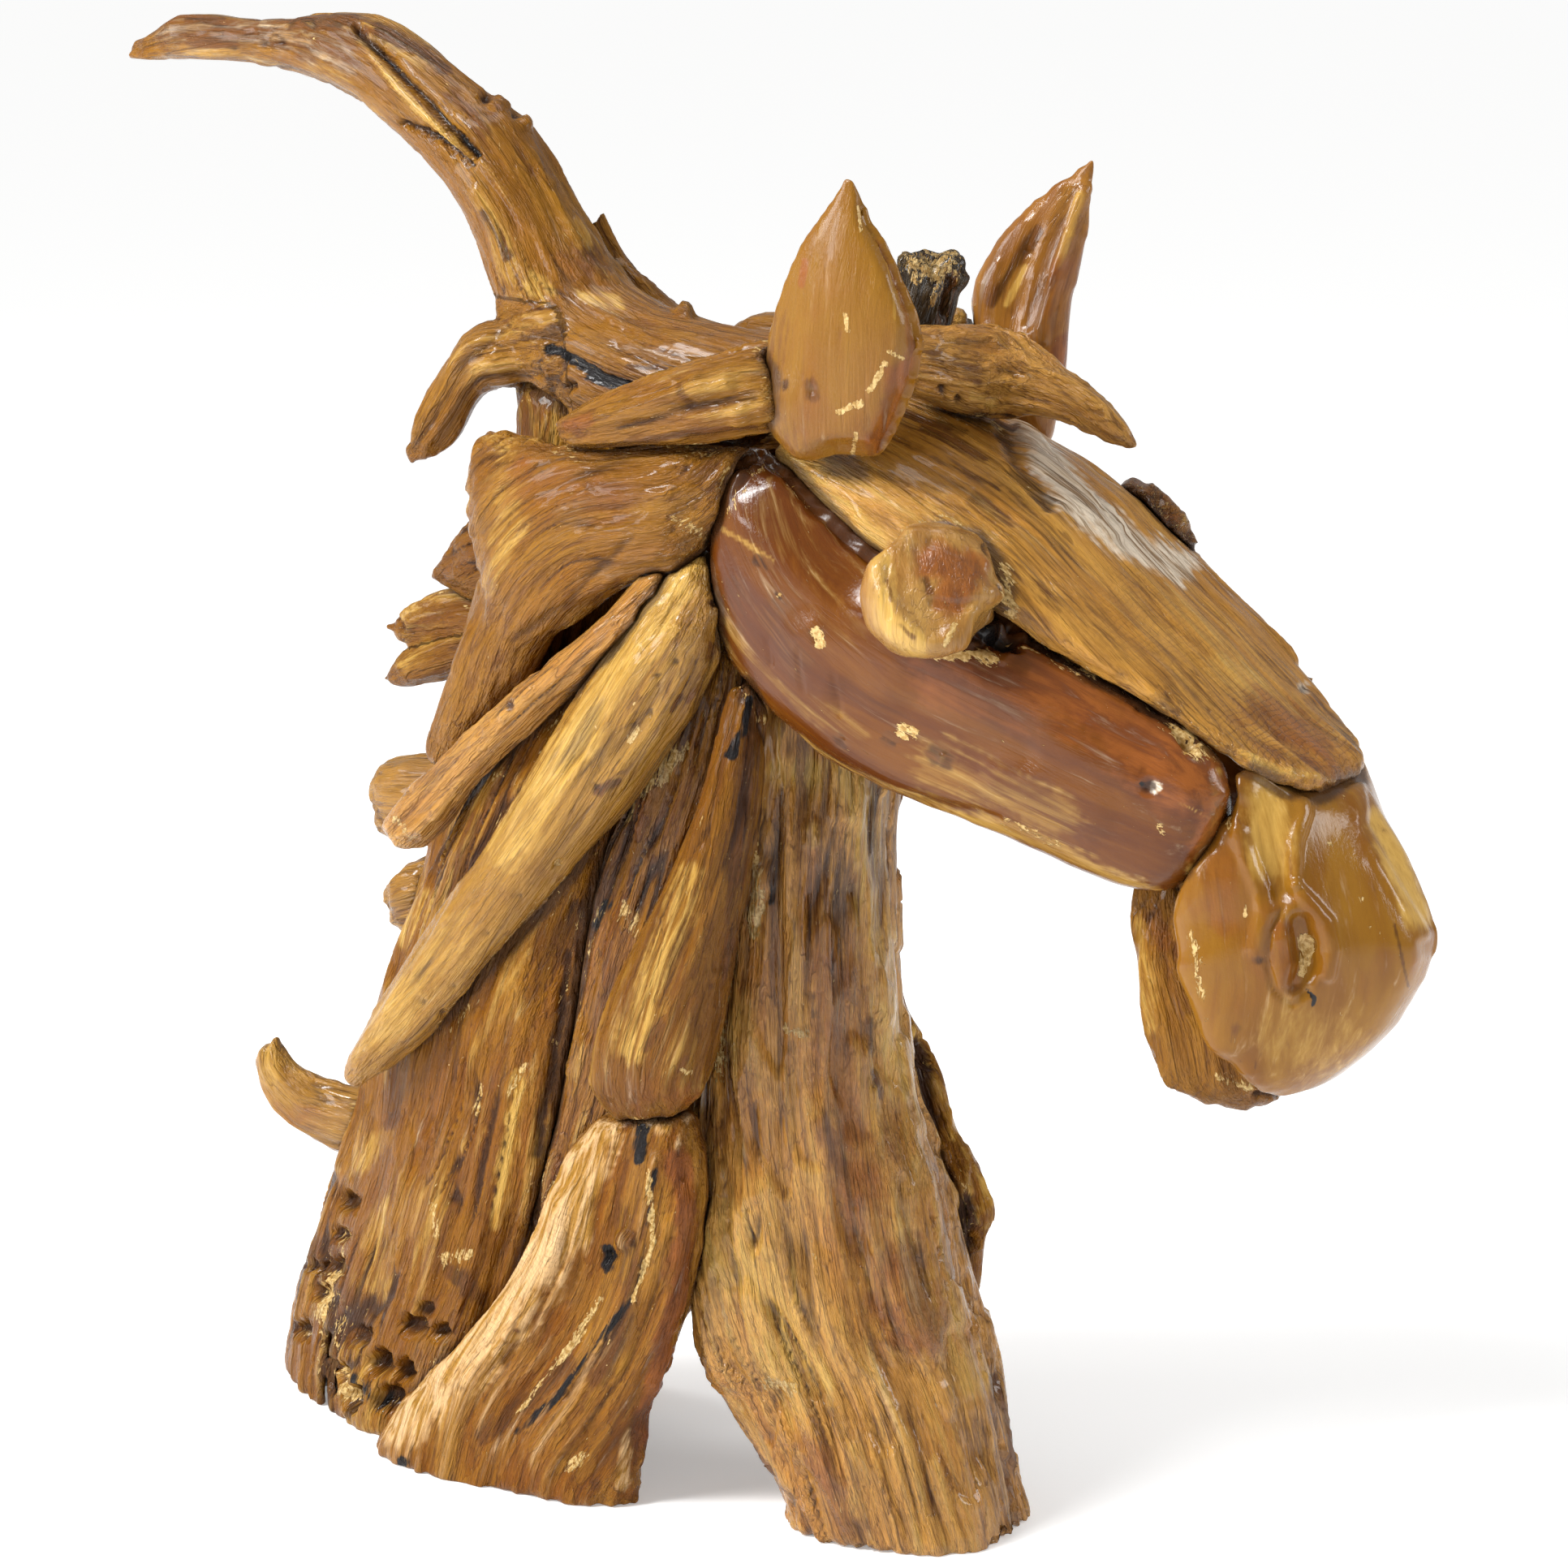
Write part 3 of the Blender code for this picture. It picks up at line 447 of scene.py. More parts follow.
finishes = {
    "crestWood": dict(
        mid=(0.224, 0.087, 0.0075), pale=(0.312, 0.144, 0.0161), streaks=0.55, fibres=0.7, furrows=0.7, torn=0.3,
        coat=0.14, shine=0.16,
    ),
    "boardWood": dict(
        mid=(0.421, 0.178, 0.0214), pale=(0.583, 0.302, 0.057), streaks=0.6, fibres=0.9, furrows=0.7, torn=0.15,
    ),
    "cheekWood": dict(
        mid=(0.104, 0.026, 0.0024), pale=(0.196, 0.067, 0.0057), brown=(0.07, 0.018, 0.006), streaks=0.35, fibres=0.1,
        clouds=0.6, specks=0.1, furrows=0.04, lines=0.06, figure=0.65, gloss=0.17, coat=0.15,
    ),
    "muzzleWood": dict(
        mid=(0.201, 0.075, 0.0053), pale=(0.312, 0.148, 0.0146), brown=(0.2, 0.066, 0.01), streaks=0.25, fibres=0.1,
        clouds=0.4, specks=0.0, furrows=0.03, lines=0.0, figure=0.55, gloss=0.18, coat=0.15,
    ),
    "chinWood": dict(
        mid=(0.224, 0.084, 0.0067), pale=(0.314, 0.145, 0.0168), streaks=0.6, fibres=1.0, furrows=0.8, torn=0.3,
        coat=0.14, shine=0.16,
    ),
    "earWood": dict(
        mid=(0.211, 0.086, 0.006), pale=(0.278, 0.135, 0.0135), brown=(0.25, 0.09, 0.012), streaks=0.25, fibres=0.2,
        clouds=0.6, specks=0.0, furrows=0.08, lines=0.08, figure=0.4, gloss=0.27, coat=0.15,
    ),
    "farEarWood": dict(
        mid=(0.221, 0.081, 0.0109), pale=(0.34, 0.153, 0.0238), brown=(0.1, 0.035, 0.012), streaks=0.8, fibres=0.2,
        clouds=0.6, specks=0.0, furrows=0.08, lines=0.15, figure=0.6, gloss=0.2, coat=0.2,
    ),
    "eyeWood": dict(
        mid=(0.3, 0.134, 0.026), pale=(0.46, 0.272, 0.075), streaks=0.4, fibres=0.25, clouds=0.5, furrows=0.15,
        lines=0.2, figure=0.7, gloss=0.2,
    ),
    "postWood": dict(
        mid=(0.435, 0.174, 0.026), pale=(0.64, 0.335, 0.072), streaks=0.8, fibres=1.0, specks=0.9, furrows=1.2,
        torn=0.6, gloss=0.18, coat=0.5,
    ),
    "slabWood": dict(
        mid=(0.196, 0.066, 0.003), pale=(0.302, 0.13, 0.0074), streaks=0.55, fibres=0.8, furrows=0.8, torn=0.4,
        coat=0.1, shine=0.12,
    ),
    "plankWood": dict(
        mid=(0.199, 0.063, 0.0048), pale=(0.347, 0.153, 0.0148), streaks=0.9, fibres=1.0, specks=0.9, furrows=1.2,
        torn=0.9,
    ),
    "footWood": dict(
        mid=(0.208, 0.067, 0.0034), pale=(0.401, 0.199, 0.0281), bleachAndHighlight=(0.74, 0.47, 0.22), streaks=0.8, fibres=0.8,
        specks=0.6, furrows=0.8, torn=0.5, coat=0.1, shine=0.12,
    ),
    "strandWood": dict(
        mid=(0.313, 0.143, 0.0153), pale=(0.407, 0.216, 0.0322), streaks=0.4, fibres=0.6, furrows=0.55, torn=0.2,
    ),
    "plateWood": dict(
        mid=(0.224, 0.085, 0.0065), pale=(0.31, 0.143, 0.0149), streaks=0.5, fibres=0.7, furrows=0.7, torn=0.3,
        coat=0.14, shine=0.16,
    ),
    "slimWood": dict(
        mid=(0.416, 0.174, 0.0263), pale=(0.578, 0.306, 0.0624), streaks=0.7, fibres=0.9, furrows=0.8, torn=0.5,
    ),
    "lockWood": dict(
        mid=(0.159, 0.056, 0.0039), pale=(0.249, 0.109, 0.01), streaks=0.5, fibres=0.7, furrows=0.6, torn=0.4,
        coat=0.1, shine=0.12,
    ),
    "burntWood": dict(
        mid=(0.018, 0.014, 0.012), pale=(0.09, 0.055, 0.02), brown=(0.007, 0.006, 0.006), streaks=0.6, fibres=1.0,
        specks=1.6, furrows=1.4, torn=0.8, gloss=0.25,
    ),
}

# What a finish has where it doesn't say, and the tints that all of them share
plainFinish = {
    "brown": (0.095, 0.030, 0.007), "bleachAndHighlight": (0.60, 0.36, 0.08), "cream": (0.66, 0.46, 0.19),
    "clouds": 0.4, "specks": 0.3, "lines": 0.5, "figure": 0.25, "torn": 0.0,
    "gloss": 0.22, "coat": 0.25, "shine": 0.28,
}
tints = {
    "redLight": (0.25, 0.075, 0.014), "redDeep": (0.13, 0.036, 0.009),
    "darkDeep": (0.030, 0.010, 0.003), "darkLight": (0.14, 0.050, 0.011),
    "silverLight": (0.80, 0.68, 0.53), "silverDeep": (0.28, 0.17, 0.08),
    # the two below are painted shade: in cracks and cuts, and where pieces touch
    "cavityShade": (0.035, 0.014, 0.007), "seam": (0.045, 0.02, 0.009),
    "char": (0.012, 0.010, 0.010), "oldGold": (0.38, 0.21, 0.05),
}

# How often each pattern changes along the grain and across it, per metre, then its detail, roughness, distortion
patterns = {
    "broad": ((6, 30, 30), 3, 0.6, 0.4), "streak": ((9, 120, 120), 5, 0.66, 0.5),
    "furrow": ((15, 250, 250), 3, 0.6, 0.4), "fibre": ((40, 620, 620), 3, 0.65, 0.0),
    "line": ((5, 70, 70), 3, 0.55, 0.6), "figure": ((5, 22, 22), 5, 0.6, 1.8), "chip": ((24, 110, 110), 3, 0.55, 0.3),
    "speck": ((110, 400, 400), 3, 0.7, 0.8), "cloud": ((17, 17, 17), 5, 0.62, 1.0),
    "grit": ((420, 420, 420), 2, 0.6, 0.0),
}
ringsPerMetre = 1500.0


def woodFinish(name):
    found = bpy.data.materials.get(name)
    if found:
        return found
    look = {**plainFinish, **finishes[name]}
    f, shift = Finish(name), (len(name) * 1.7, len(name) * 0.9, 3.1)
    grain = f.attribute("grain")
    objectPlace = f.wire(f.node("ShaderNodeTexCoord"), "Object")
    dark, pale, red = f.parts(f.attribute("tint"))
    filler, deep, seam = f.parts(f.attribute("wear"))
    rings, char, grey = f.parts(f.attribute("mark"))
    along = f.parts(grain)[0]

    broad, streak, furrow, fibre, line, figure, chip = (
        f.noise(grain, shift, *patterns[kind])
        for kind in ("broad", "streak", "furrow", "fibre", "line", "figure", "chip")
    )
    cloud = f.noise(objectPlace, shift, *patterns["cloud"])
    grit = f.noise(objectPlace, (0, 0, 0), *patterns["grit"])
    thin = f.step(abs(line - 0.5), 0.022, 0.004) * f.step(broad, 0.40, 0.58)

    rich = f.mix(0.5, look["mid"], look["brown"])
    colour = f.mix(f.step(broad, 0.36, 0.70) * 0.65, look["mid"], look["pale"])
    for pattern, low, high, share, tint in (
        (cloud, 0.46, 0.74, look["clouds"], rich),
        (figure, 0.50, 0.74, look["figure"], look["brown"]), (figure, 0.47, 0.28, look["figure"], look["pale"]),
        (streak, 0.47, 0.72, 0.85 * look["streaks"], look["brown"]),
        (streak, 0.46, 0.30, 0.6 * look["streaks"], look["pale"]),
        (furrow, 0.50, 0.74, 0.7 * look["fibres"], look["brown"]),
        (furrow, 0.45, 0.28, 0.4 * look["fibres"], look["pale"]),
        (fibre, 0.50, 0.78, 0.55 * look["fibres"], rich),
    ):
        colour = f.mix(f.step(pattern, low, high) * share, colour, tint)
    colour = f.mix(thin * look["lines"], colour, look["brown"])
    torn = f.step(chip, 0.49, 0.54)
    colour = f.mix(f.step(abs(chip - 0.49), 0.022, 0.004) * (0.55 * look["torn"]), colour, look["brown"])
    colour = f.mix(torn * (0.30 * look["torn"]), colour, look["pale"])

    # drawn tints, broken up by the grain; the pale and dark ones also carry painted highlight and painted shade
    # the palest tint is pale weathered wood, and also painted highlight on raised relief and on some drawn marks
    palest = f.mix(f.step(furrow, 0.4, 0.62) * min(look["fibres"] * 2, 1), look["bleachAndHighlight"], look["pale"])
    redBrown = f.mix(f.step(streak, 0.4, 0.65), tints["redLight"], tints["redDeep"])
    darkest = f.mix(f.step(furrow, 0.38, 0.62), tints["darkDeep"], tints["darkLight"])
    # silver is weathered grey wood; on the board's ridge it also holds a painted reflection, and in the cheek's hole
    # painted light seen through it
    silver = f.mix(f.step(furrow, 0.46, 0.64), tints["silverLight"], tints["silverDeep"])
    colour = f.mix(f.step(pale + (streak - 0.5) * 1.4, 0.1, 0.9) * 0.9, colour, palest)
    colour = f.mix(f.step(red + (cloud - 0.5) * 1.2, 0.1, 0.9) * 0.9, colour, redBrown)
    colour = f.mix(f.step(grey + (streak - 0.5) * 1.4, 0.1, 0.9) * 0.9, colour, silver)
    # the darkest tint is stains, and also painted shade from the relief and from some drawn marks
    colour = f.mix(f.step(dark + (furrow - 0.5) * 1.8 + (streak - 0.5) * 0.8, 0.15, 0.9) * 0.92, colour, darkest)
    ringPlace = (along + broad * 0.012 + cloud * 0.02) * ringsPerMetre
    ringWave = f.wire(f.node("ShaderNodeMath", {"operation": "SINE"}, {0: ringPlace}))
    ringLine = f.step(ringWave, 0.5, 1.0) * rings
    colour = f.mix(ringLine * 0.5, colour, look["brown"])
    # painted shade in cracks and cuts
    cavityShade = f.step(deep + (furrow - 0.5) * 0.8, 0.2, 0.9)
    colour = f.mix(cavityShade * 0.85, colour, tints["cavityShade"])
    # painted shade where pieces touch
    seamShade = f.step(seam + (grit - 0.5) * 0.3, 0.45, 0.9)
    colour = f.mix(seamShade * 0.75, colour, tints["seam"])
    # near-black char, and painted shade inside the cheek's small hole
    colour = f.mix(f.step(char + (furrow - 0.5) * 1.6, 0.3, 0.75), colour, tints["char"])

    # gold and cream filler at joints, in drawn places and in scattered specks
    speck = f.noise(grain, (5, 2, 8), *patterns["speck"])
    joint = f.step(seam, 0.1, 0.45) * f.step(seam, 0.95, 0.55) * f.step(cloud, 0.44, 0.62) * 0.17
    fill = f.step(speck + filler * 0.30 + joint + deep * 0.05 + 0.03 * look["specks"], 0.71, 0.75)
    colour = f.mix(fill, colour, f.mix(f.step(grit, 0.35, 0.65), look["cream"], tints["oldGold"]))

    rough = look["gloss"] + (streak - 0.5) * 0.25 + fill * 0.25 + seamShade * 0.1 + (grit - 0.5) * 0.1
    relief = (
        (furrow - 0.5) * (-0.0060 * look["furrows"]) + (streak - 0.5) * (-0.0090 * look["furrows"])
        + (fibre - 0.5) * (-0.0018 * look["furrows"])
        - thin * (0.0012 * look["lines"]) + torn * (0.0020 * look["torn"])
        + fill * 0.0005 + grit * (0.00012 + 0.0002 * look["furrows"]) - ringLine * 0.0004
    )
    bump = f.wire(f.node("ShaderNodeBump", {}, {"Strength": 1.0, "Distance": 1.0, "Height": relief}))
    shader = f.node("ShaderNodeBsdfPrincipled", {}, {
        "Base Color": colour, "Roughness": rough, "Normal": bump,
        "IOR": 1.45, "Specular IOR Level": look["shine"], "Coat Roughness": 0.10, "Coat Weight": look["coat"],
    })
    output = f.node("ShaderNodeOutputMaterial")
    f.tree.links.new(shader.outputs[0], output.inputs[0])
    return f.material


# Camera, floor and soft light

def studio():
    camera = bpy.data.objects.new("camera", bpy.data.cameras.new("camera"))
    bpy.context.scene.collection.objects.link(camera)
    camera.location = Vector(viewPoint)
    camera.rotation_mode = "QUATERNION"
    camera.rotation_quaternion = Vector(-back).to_track_quat("-Z", "Y")
    camera.data.sensor_width = filmWidth = 36.0
    camera.data.lens = filmWidth * sheet["distance"] / sheet["width"]
    camera.data.clip_end = 1000.0
    bpy.context.scene.camera = camera

    floorLook = {"side": 300.0, "colour": (0.92, 0.92, 0.915, 1.0)}
    bpy.ops.object.select_all(action="DESELECT")
    bpy.ops.mesh.primitive_plane_add(size=floorLook["side"], location=(0, 0, -0.0005))
    floor = bpy.context.active_object
    floor.name = "floor"
    pale = bpy.data.materials.new("paleFloor")
    pale.use_nodes = True
    shader = pale.node_tree.nodes["Principled BSDF"]
    shader.inputs["Base Color"].default_value = floorLook["colour"]
    shader.inputs["Roughness"].default_value = 1.0
    shader.inputs["Specular IOR Level"].default_value = 0.0
    shader.inputs["Emission Color"].default_value = (1.0, 1.0, 1.0, 1.0)
    shader.inputs["Emission Strength"].default_value = 0.3
    floor.data.materials.append(pale)

    world = bpy.data.worlds.new("studioWorld")
    bpy.context.scene.world = world
    world.use_nodes = True
    world.node_tree.nodes["Background"].inputs["Color"].default_value = (1.0, 1.0, 1.0, 1.0)
    world.node_tree.nodes["Background"].inputs["Strength"].default_value = 0.38

    def lamp(name, kind, place, power, width):
        light = bpy.data.lights.new(name, kind)
        light.energy = power
        if kind == "AREA":
            light.shape, light.size = "SQUARE", width
        else:
            light.angle = width
        box = bpy.data.objects.new(name, light)
        bpy.context.scene.collection.objects.link(box)
        box.location = place
        box.rotation_mode = "QUATERNION"
        box.rotation_quaternion = (Vector(centre) - Vector(place)).to_track_quat("-Z", "Y")

    lamp("daySun", "SUN", (-1.2, -2.0, 3.2), 1.4, math.radians(18))     # even over the whole floor
    lamp("keyBox", "AREA", (-1.3, -1.9, 2.4), 60.0, 0.55)
    lamp("topBox", "AREA", (-0.3, 0.3, 2.9), 16.0, 0.9)
    lamp("rimBox", "AREA", (2.5, 0.7, 1.5), 24.0, 0.9)
    lamp("leftBox", "AREA", (-2.3, -1.7, 1.5), 32.0, 0.8)
    lamp("frontBox", "AREA", (-1.5, -2.3, 1.0), 12.0, 0.45)
    bpy.context.scene.view_settings.view_transform = "Standard"
    print("studio ready")


studio()

# Neck

growPiece(
    "postWood", "neck_post", slot="dark_root", cell=0.0054, rounds=12, lobes=1.6, flutes=1.3, flakes=1.5, cracks=2.2,
    soot=0.6,
    paths=[[
        (509, 294, 0), (501, 376, -2), (495, 529, -4), (496, 667, -6), (515, 800, -11), (543, 880, -13),
        (573, 985, -15),
    ]],
    pale=[
        (0.8, 26, 955, 950, 1055, 958), (0.5, 40, 1020, 960, 1080, 975),
        # the long stripe down the right edge, from 1062, 985, is pale wood with painted rim light on it
        (0.9, 26, 1062, 985, 1082, 1100, 1095, 1240, 1105, 1340), (0.8, 9, 1003, 1020, 1004, 1038),
        # the stroke from 1060, 1440 to 1200, 1700 is a painted sheen
        (0.7, 55, 900, 1520, 940, 1600, 985, 1700), (0.6, 30, 1060, 1440, 1120, 1540, 1200, 1700),
    ],
    dark=[
        # the faint wide stroke from 985, 990 to 1000, 1170 is painted shade where the cheek shades the post
        (0.3, 30, 985, 990, 990, 1080, 1000, 1170), (0.7, 12, 1070, 1262, 1074, 1292),
        (0.8, 8, 1000, 1225, 1002, 1250), (0.5, 12, 1012, 1370, 1022, 1410, 1034, 1446),
        (0.7, 7, 1076, 1320, 1080, 1350), (0.6, 7, 842, 1676, 901, 1729, 967, 1834), (0.5, 20, 900, 1300, 880, 1400),
        # the stroke at 1230, 1700 is painted shade on the ragged right edge
        (0.7, 12, 1230, 1700, 1250, 1790),
    ],
    red=[
        (0.5, 36, 1000, 1000, 1010, 1120, 1020, 1240), (0.6, 28, 1000, 1785, 1030, 1840, 1050, 1880),
        (0.6, 50, 1020, 1270, 1050, 1400, 1080, 1520, 1130, 1640),
    ],
    ridge=[(2, 12, 1003, 1020, 1004, 1038), (2.5, 10, 930, 1040, 938, 1090)],
    char=[(0.45, 9, 938, 1000, 944, 1060, 948, 1110)],
    filler=[
        (0.8, 9, 928, 1045, 934, 1095, 928, 1150), (1, 7, 968, 1268, 992, 1272), (0.9, 10, 940, 1705, 975, 1712),
        (0.7, 10, 905, 1150, 888, 1250, 885, 1330),
    ],
)
growPiece(
    "napeWood", "nape_root", finish="slabWood", cell=0.0095, rounds=6, lobes=2.0, flutes=1.2, cracks=1.6,
    paths=[[(371, 227, 0), (374, 272, 0), (350, 402, 0), (316, 525, 0), (288, 655, 0), (255, 795, 0), (248, 902, 0)]],
    dark=[(0.6, 30, 650, 500, 660, 540)],
)

# Head

growPiece(
    "boardWood", "face_board", cell=0.0054, rounds=10, lobes=0.9, flutes=0.35, cracks=0.5,
    paths=[[
        (540, 246, 0), (570, 258, 0), (615, 285, 0), (668, 325, 0), (712, 375, 0), (754, 415, 0), (789, 448, 0),
        (829, 476, 0),
    ]],
    dark=[
        (0.8, 6, 1110, 508, 1189, 535), (0.8, 6, 1135, 529, 1214, 568), (0.9, 6, 1177, 505, 1250, 530),
        (0.7, 5, 1100, 540, 1160, 570), (0.7, 5, 1160, 570, 1230, 600), (0.6, 14, 1200, 618, 1240, 640),
        (0.6, 4, 1060, 575, 1120, 600), (0.5, 4, 1130, 620, 1180, 650), (0.5, 12, 1300, 750, 1250, 700),
    ],
    pale=[
        (0.9, 14, 965, 555, 1020, 610, 1086, 668), (0.6, 26, 1010, 575, 1090, 620, 1150, 640),
        (0.45, 60, 1000, 600, 1200, 680), (0.5, 22, 1500, 820, 1580, 870, 1640, 905),
        (0.8, 5, 1523, 926, 1577, 950, 1640, 962),
    ],
    # the silvery stroke along the ridge is weathered grey wood with a painted reflection on it
    grey=[(1, 26, 1262, 518, 1290, 570, 1330, 620, 1390, 668, 1450, 700), (0.8, 10, 1607, 847)],
    ridge=[(3, 16, 1262, 518, 1275, 560, 1310, 605, 1370, 655), (1.5, 5, 1523, 926, 1577, 950, 1640, 962)],
    cut=[(2, 12, 1235, 530, 1252, 575, 1290, 620), (2, 8, 1607, 847)],
    rings=[(0.25, 60, 1390, 750, 1450, 790, 1540, 840), (0.7, 45, 1540, 890, 1640, 930)],
    red=[(0.55, 45, 1560, 880, 1620, 910, 1650, 945)],
    filler=[(0.9, 10, 1235, 700, 1240, 730, 1246, 755)],
)
growPiece(
    "muzzleWood", "muzzle", sanded, slot="honey_teak", cell=0.0074, rounds=9, levels=2, lobes=0.7, ragged=0.5,
    kept=[((1774, 1174), 64)],
    pushes=[
        ((1540, 966), (1526, 951), 45), ((1518, 1035), (1501, 1026), 50), ((1495, 1090), (1470, 1080), 55),
        ((1472, 1126), (1448, 1118), 55), ((1490, 1200), (1458, 1205), 75), ((1527, 1273), (1494, 1285), 75),
        ((1565, 1330), (1545, 1340), 45),
    ],
    paths=[[(807, 455, 0), (815, 500, 0), (822, 560, 0), (825, 590, 0), (822, 620, 0), (815, 665, 0)]],
    carve=[
        (4.5, 26, 1566, 965, 1560, 1040, 1574, 1090),
        (2, 5, 1580, 1120, 1564, 1146, 1559, 1178, 1570, 1218, 1592, 1238, 1614, 1224),
        (6, 17, 1602, 1140, 1610, 1190, 1600, 1212), (2, 20, 1690, 1020, 1740, 1100, 1765, 1165),
    ],
    swell=[
        (2.2, 7, 1526, 950, 1528, 981, 1524, 1019),
        (3.4, 13, 1528, 1030, 1540, 1060, 1557, 1100, 1558, 1125, 1548, 1170),
        (3.4, 10, 1604, 981, 1607, 1002, 1596, 1035, 1593, 1088),
        (3.4, 10, 1595, 1092, 1611, 1110, 1634, 1137, 1642, 1170, 1636, 1200), (2, 13, 1580, 1160, 1586, 1205),
        (2, 12, 1668, 960, 1680, 1020, 1718, 1090, 1755, 1150),
    ],
    filler=[
        (1.2, 8, 1609, 1162, 1606, 1202), (0.9, 6, 1514, 990, 1513, 1020),
        (0.8, 7, 1468, 1150, 1474, 1190, 1480, 1225), (0.8, 5, 1486, 1256), (0.9, 4, 1678, 1108),
        (0.8, 4, 1638, 1040), (0.8, 4, 1534, 1110, 1534, 1130),
    ],
    red=[
        # the first stroke, in the nostril's left half, is red wood with painted shade on it
        (0.6, 20, 1584, 1150, 1592, 1215), (0.4, 12, 1560, 1120, 1600, 1105), (0.5, 30, 1500, 1060, 1500, 1130),
        (0.4, 26, 1560, 1180, 1530, 1240), (0.4, 20, 1680, 1220, 1710, 1180),
    ],
    dark=[
        # the spot at 1551, 1183 is a painted shadow along the nostril's left edge
        (0.9, 8, 1551, 1183), (0.5, 10, 1526, 1268), (0.3, 3, 1590, 966, 1591, 1070),
        (0.7, 3, 1718, 1140, 1735, 1215),
    ],
    char=[(1, 3, 1612, 1223, 1620, 1230, 1617, 1238)],
    # the stroke on the front facet, from 1710, 1010 to 1750, 1120, is a painted highlight
    pale=[(0.35, 60, 1594, 1277, 1640, 1285), (0.7, 34, 1560, 985, 1565, 1060), (0.8, 30, 1710, 1010, 1750, 1120)],
)
cheekPath = [(460, 281, -78), (488, 358, -84), (552, 416, -75), (596, 440, -71), (690, 486, -67), (748, 515, -68)]
growPiece(
    "cheekWood", "cheek_right", sanded, slot="polished_teak", cell=0.0078, rounds=10, levels=2, lobes=0.9, relief=1.8,
    paths=[cheekPath],
    carve=[
        (7, 60, 930, 560, 1000, 620, 1060, 690), (3, 40, 1330, 880, 1400, 920),
        (2.5, 30, 1050, 860, 1150, 900, 1250, 930),
    ],
    swell=[(3, 45, 1000, 800, 1080, 840), (2, 34, 1240, 960, 1340, 1000)],
    pale=[
        # the wide faint stroke at the upper left, from 960, 620 to 1030, 700, is a painted highlight
        (0.45, 4, 890, 652, 918, 668, 950, 692), (0.7, 6, 1160, 936), (0.15, 50, 960, 620, 1030, 700),
        (0.25, 14, 890, 775, 930, 830, 990, 870, 1060, 905), (0.2, 24, 1000, 720, 1050, 770),
        (0.35, 40, 1150, 950, 1300, 1000),
        (0.5, 15, 985, 918, 1060, 968, 1150, 1003, 1260, 1026, 1360, 1080, 1420, 1108),
        (0.6, 9, 1502, 950, 1496, 1010, 1470, 1070), (0.9, 12, 1484, 915, 1506, 930), (0.7, 2, 1455, 990, 1500, 1014),
    ],
    dark=[
        (0.9, 8, 932, 690, 944, 696), (0.9, 7, 959, 734), (0.8, 15, 1009, 782), (0.9, 7, 1090, 908, 1102, 915),
        (0.7, 11, 1036, 908, 1040, 918), (0.8, 14, 1150, 930, 1166, 938), (0.5, 30, 950, 760, 985, 810),
        (0.5, 16, 900, 720, 915, 770), (0.9, 9, 1298, 805, 1340, 835, 1380, 852),
    ],
    filler=[
        (1, 3, 959, 734), (1.2, 9, 1008, 776, 1012, 792), (1.1, 9, 1108, 900, 1122, 906),
        (0.6, 9, 1240, 1012, 1300, 1040), (0.9, 18, 1455, 905, 1475, 925), (1.1, 10, 1205, 812, 1228, 810),
        (1.1, 8, 1140, 806, 1190, 808), (0.6, 6, 1310, 800, 1350, 828), (0.9, 6, 1428, 1018, 1434, 1026),
    ],
    cut=[
        (1.2, 9, 1009, 784), (1, 6, 1038, 912), (1, 6, 1010, 930, 1100, 978, 1230, 1008), (10, 15, 1464, 910),
        (14, 20, 1212, 775, 1240, 785), (5, 10, 1274, 786, 1371, 838, 1460, 893), (3, 10, 1416, 968),
        (0.8, 3, 985, 800, 990, 850), (0.8, 3, 1028, 830, 1034, 880), (0.8, 3, 945, 790, 950, 820),
    ],
    ridge=[(1, 6, 1160, 935), (1.5, 6, 1250, 775, 1252, 800, 1236, 815)],
    red=[
        (0.8, 60, 1290, 850, 1380, 890, 1470, 950), (0.6, 40, 1150, 840, 1250, 880), (0.8, 22, 1500, 960, 1480, 1050),
    ],
    # at 1407, 966 and 1423, 969 the small hole near the mouth gets a dark spot, painted shade inside it, and a grey
    # spot, painted light seen through it
    char=[(0.9, 16, 1212, 778, 1236, 786), (0.9, 4, 1407, 966)],
    grey=[(1.6, 8, 1423, 969)],
)
growPiece(
    "farCheekWood", "cheek_left", sanded, slot="polished_teak", finish="cheekWood", cell=0.009, rounds=6, lobes=0.9,
    mirrored=True,
    paths=[cheekPath],
)
growPiece(
    "chinWood", "chin", cell=0.005, rounds=6, lobes=0.5, flutes=0.5, cracks=0.7,
    paths=[[(748, 525, 0), (752, 575, 0), (765, 620, 0), (772, 655, 0), (782, 680, 0)]],
    red=[(0.6, 18, 1420, 1130, 1435, 1160)],
    dark=[(0.6, 16, 1450, 1170, 1470, 1240)],
    filler=[(0.8, 6, 1500, 1325, 1540, 1340)],
    pale=[(0.6, 16, 1400, 1140, 1420, 1260)],
    cut=[(4, 6, 1550, 1350, 1620, 1343)],
)

# Crest

